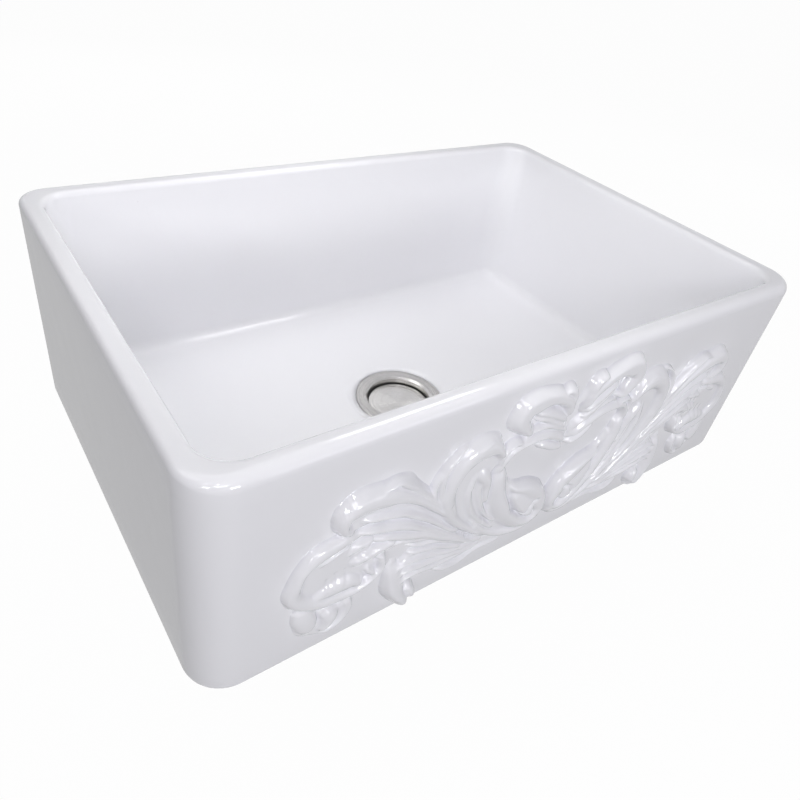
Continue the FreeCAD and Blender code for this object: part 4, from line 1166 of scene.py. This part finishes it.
@dataclass
class Studio:
    """Pale floor, soft lamps and the camera. Places are metres."""

    floor_z: float = -0.1712
    floor_half: float = 14.0
    eye: Row = (-0.4953528, -0.5626099, 0.6007182)
    right: Row = (0.810226, -0.569262, 0.139552)
    up: Row = (0.207195, 0.500904, 0.840337)
    toward: Row = (-0.548274, -0.651948, 0.523794)
    lens: float = 32.19973
    sensor: float = 36.0
    shift: Row = (0.001145, -0.100413)
    bright_way: Row = (0.62, -0.25, 0.74)
    room_levels: Row = (0.05, 0.12)
    sheen: float = 0.75
    floor_glow: float = 0.975
    mirrored: float = 0.68

    def camera(self) -> None:
        """Set the camera where the photograph was taken."""
        data = bpy.data.cameras.new("camera")
        data.lens, data.sensor_width = self.lens, self.sensor
        data.shift_x, data.shift_y = self.shift
        data.clip_start, data.clip_end = 0.02, 50.0
        eye = bpy.data.objects.new("camera", data)
        turn = np.eye(4)
        turn[:3, 0], turn[:3, 1], turn[:3, 2] = self.right, self.up, self.toward
        turn[:3, 3] = self.eye
        eye.matrix_world = Matrix(turn.tolist())
        bpy.context.scene.collection.objects.link(eye)
        bpy.context.scene.camera = eye

    def floor(self) -> None:
        """Lay the floor, which is white to the eye and keeps the object's shadow."""
        mesh = bpy.data.meshes.new("floor")
        corners = [(x * self.floor_half, y * self.floor_half, self.floor_z)
                   for x, y in ((-1, -1), (1, -1), (1, 1), (-1, 1))]
        mesh.from_pydata(corners, [], [(0, 1, 2, 3)])
        g = Graph("floor_paper")
        path = g.add("LightPath")
        seen = g.sum("MAXIMUM", path.outputs["Is Camera Ray"],
                     g.sum("MAXIMUM", path.outputs["Is Glossy Ray"],
                           path.outputs["Is Transmission Ray"]))
        colour = g.blend(seen, (0.30, 0.30, 0.31, 1.0), (0.85, 0.85, 0.86, 1.0))
        paper = g.add("BsdfDiffuse", {"Color": colour})
        level = g.spread(path.outputs["Is Camera Ray"], self.mirrored, 1.0)
        glow = g.add("Emission", {"Color": (1.0, 1.0, 1.0, 1.0), "Strength": level})
        mix = g.add("MixShader", {0: g.sum("MULTIPLY", seen, self.floor_glow),
                                  1: paper.outputs[0], 2: glow.outputs[0]})
        mesh.materials.append(g.finish(mix.outputs[0]))
        floor = bpy.data.objects.new("floor", mesh)
        bpy.context.scene.collection.objects.link(floor)

    def world(self) -> None:
        """Fill the room with faint light, strongest from above on the right.

        The eye sees it white, and gloss mirrors an even pale room.
        """
        world = bpy.data.worlds.new("room")
        world.use_nodes = True
        bpy.context.scene.world = world
        tree = world.node_tree
        tree.nodes.clear()

        def node(kind: str, *values: object) -> bpy.types.Node:
            """Add a node and fill its inputs in order with values or sockets."""
            new = tree.nodes.new("ShaderNode" + kind)
            for socket, value in zip(new.inputs, values):
                if isinstance(value, bpy.types.NodeSocket):
                    tree.links.new(value, socket)
                elif value is not None:
                    socket.default_value = value
            return new

        way = node("TexCoord").outputs["Generated"]
        lean = node("VectorMath", way, self.bright_way)
        lean.operation = "DOT_PRODUCT"
        level = node("MapRange", lean.outputs["Value"], -0.55, 0.75, *self.room_levels)
        fill = node("Background", (0.90, 0.90, 1.0, 1.0), level.outputs[0])
        white = node("Background", (1.0, 1.0, 1.0, 1.0), 1.0)
        soft = node("Background", (0.96, 0.96, 1.0, 1.0), self.sheen)
        path = node("LightPath")
        lit = node("MixShader", path.outputs["Is Glossy Ray"], fill.outputs[0], soft.outputs[0])
        mix = node("MixShader", path.outputs["Is Camera Ray"], lit.outputs[0], white.outputs[0])
        out = tree.nodes.new("ShaderNodeOutputWorld")
        tree.links.new(mix.outputs[0], out.inputs[0])

    def lamp(self, name: str, place: Row, aim: Row, size: Row, power: float,
             colour: Row = (1.0, 1.0, 1.0), cone: float = math.pi, shows: bool = True) -> None:
        """Hang one soft box.

        Args:
            name: the lamp's name.
            place: where it hangs.
            aim: the point that it faces.
            size: its width and height.
            power: its watts.
            colour: its light's colour.
            cone: the whole angle that its light fans out to.
            shows: whether gloss mirrors it.
        """
        data = bpy.data.lights.new(name, "AREA")
        data.shape, data.size, data.size_y = "RECTANGLE", size[0], size[1]
        data.energy, data.color, data.spread = power, colour, cone
        lamp = bpy.data.objects.new(name, data)
        lamp.visible_camera, lamp.visible_glossy = False, shows
        back = np.asarray(place, float) - np.asarray(aim, float)
        back /= np.linalg.norm(back)
        side = np.cross((0.0, 0.0, 1.0) if abs(back[2]) < 0.99 else (0.0, 1.0, 0.0), back)
        side /= np.linalg.norm(side)
        turn = np.eye(4)
        turn[:3, 0], turn[:3, 1], turn[:3, 2], turn[:3, 3] = side, np.cross(back, side), back, place
        lamp.matrix_world = Matrix(turn.tolist())
        bpy.context.scene.collection.objects.link(lamp)

    def build(self) -> None:
        """Set up the whole studio."""
        self.camera()
        self.floor()
        self.world()
        aim = (0.0, 0.0, 0.1)
        self.lamp("over_rim", (-0.08, 0.02, 1.15), aim, (0.8, 0.45), 0.78)
        self.lamp("over_bowl", (0.0, 0.33, 1.12), (0.0, 0.02, 0.0), (0.6, 0.35), 0.18, cone=1.2)
        self.lamp("over_left", (-0.25, 0.0, 0.95), (0.33, 0.0, 0.08), (0.25, 0.3), 0.23, cone=1.1)
        self.lamp("over_right", (0.25, 0.0, 0.95), (-0.33, 0.0, 0.08), (0.25, 0.3), 0.36, cone=1.1)
        self.lamp("ceiling", (0.0, 0.2, 2.3), aim, (2.6, 2.2), 3.4)
        self.lamp("high_left", (-1.05, -2.1, 1.6), aim, (0.7, 0.6), 7.5, (0.93, 0.91, 1.0))
        self.lamp("front", (-0.2, -2.4, 0.72), aim, (0.6, 0.4), 13.0)
        self.lamp("front_right", (0.9, -2.2, 0.6), aim, (1.0, 0.8), 4.0, (0.93, 0.93, 1.0))
        self.lamp("corner", (-1.6, -1.4, 0.8), aim, (0.35, 0.35), 4.6)
        self.lamp("right_side", (2.4, 0.5, 0.8), aim, (1.0, 0.8), 9.0, shows=False)
        self.lamp("behind", (0.5, 2.5, 0.8), aim, (1.4, 0.8), 11.0, shows=False)
        self.lamp("top_left", (-1.2, 0.1, 1.6), aim, (1.0, 1.0), 5.0)
        for row, (back, height) in enumerate(((2.3, 1.35), (2.2, 1.6))):
            self.lamp(f"strip_{row + 1}", (-0.9, -back, height), aim, (1.4, 0.035), 1.2)
        for row, place in enumerate(((-2.0, -2.1, 1.3), (-1.6, -1.3, 2.0), (-1.0, -1.7, 2.1),
                                     (-0.6, -2.3, 1.7))):
            self.lamp(f"spot_{row + 1}", place, aim, (0.17, 0.17), 2.0, (0.93, 0.91, 1.0))
        bpy.context.scene.view_settings.view_transform = "Standard"


# ---------------------------------------------------------------- main


def main() -> None:
    """Build every piece in order and report it."""
    logging.basicConfig(level=logging.INFO, format="%(name)s: %(message)s")
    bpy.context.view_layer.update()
    glaze = WhiteGlaze().material()
    carved = WhiteGlaze(carved=True).material()
    basin = Basin()
    basin.build(glaze)
    carving = Carving(basin)
    tall, mottle_and_crease_shade_share = carving.heights()
    for half in Half:
        carving.build(half, tall, mottle_and_crease_shade_share, carved)
    bright = Grained("bright_steel", (0.78, 0.78, 0.79, 1.0), (0.68, 0.68, 0.70, 1.0),
                     (0.096, 0.15), 500.0, 0.05).material()
    LatchSpring().build(bright)
    Drain().dress({
        "flange": TurnedSteel("brushed_flange").material(),
        "lid": TurnedSteel("brushed_lid", tone=(0.80, 0.79, 0.76, 1.0), dark=(0.62, 0.61, 0.59, 1.0),
                           pitch=2200.0, bump=0.12, stretch=0.8).material(),
        "cup": Grained("basket_steel", (0.62, 0.62, 0.61, 1.0), (0.54, 0.54, 0.53, 1.0),
                       (0.176, 0.275), 700.0, 0.08).material(),
        "bright": bright,
        "zinc": Grained("cast_zinc", (0.55, 0.56, 0.58, 1.0), (0.46, 0.47, 0.49, 1.0),
                        (0.336, 0.525), 900.0, 0.5).material(),
        "brass": Grained("latch_brass", (0.80, 0.62, 0.32, 1.0), (0.70, 0.52, 0.25, 1.0),
                         (0.2, 0.3125), 600.0, 0.12).material(),
        "rubber": Grained("black_rubber", (0.022, 0.022, 0.023, 1.0), (0.014, 0.014, 0.015, 1.0),
                          (0.56, 0.68), 400.0, 0.3, 4.0, 25.0, 0.0).material(),
        "plastic": Grained("pale_plastic", (0.80, 0.80, 0.77, 1.0), (0.74, 0.74, 0.71, 1.0),
                           (0.32, 0.44), 400.0, 0.15, 4.0, 25.0, 0.0).material(),
    })
    Studio().build()


if __name__ == "__main__":
    main()
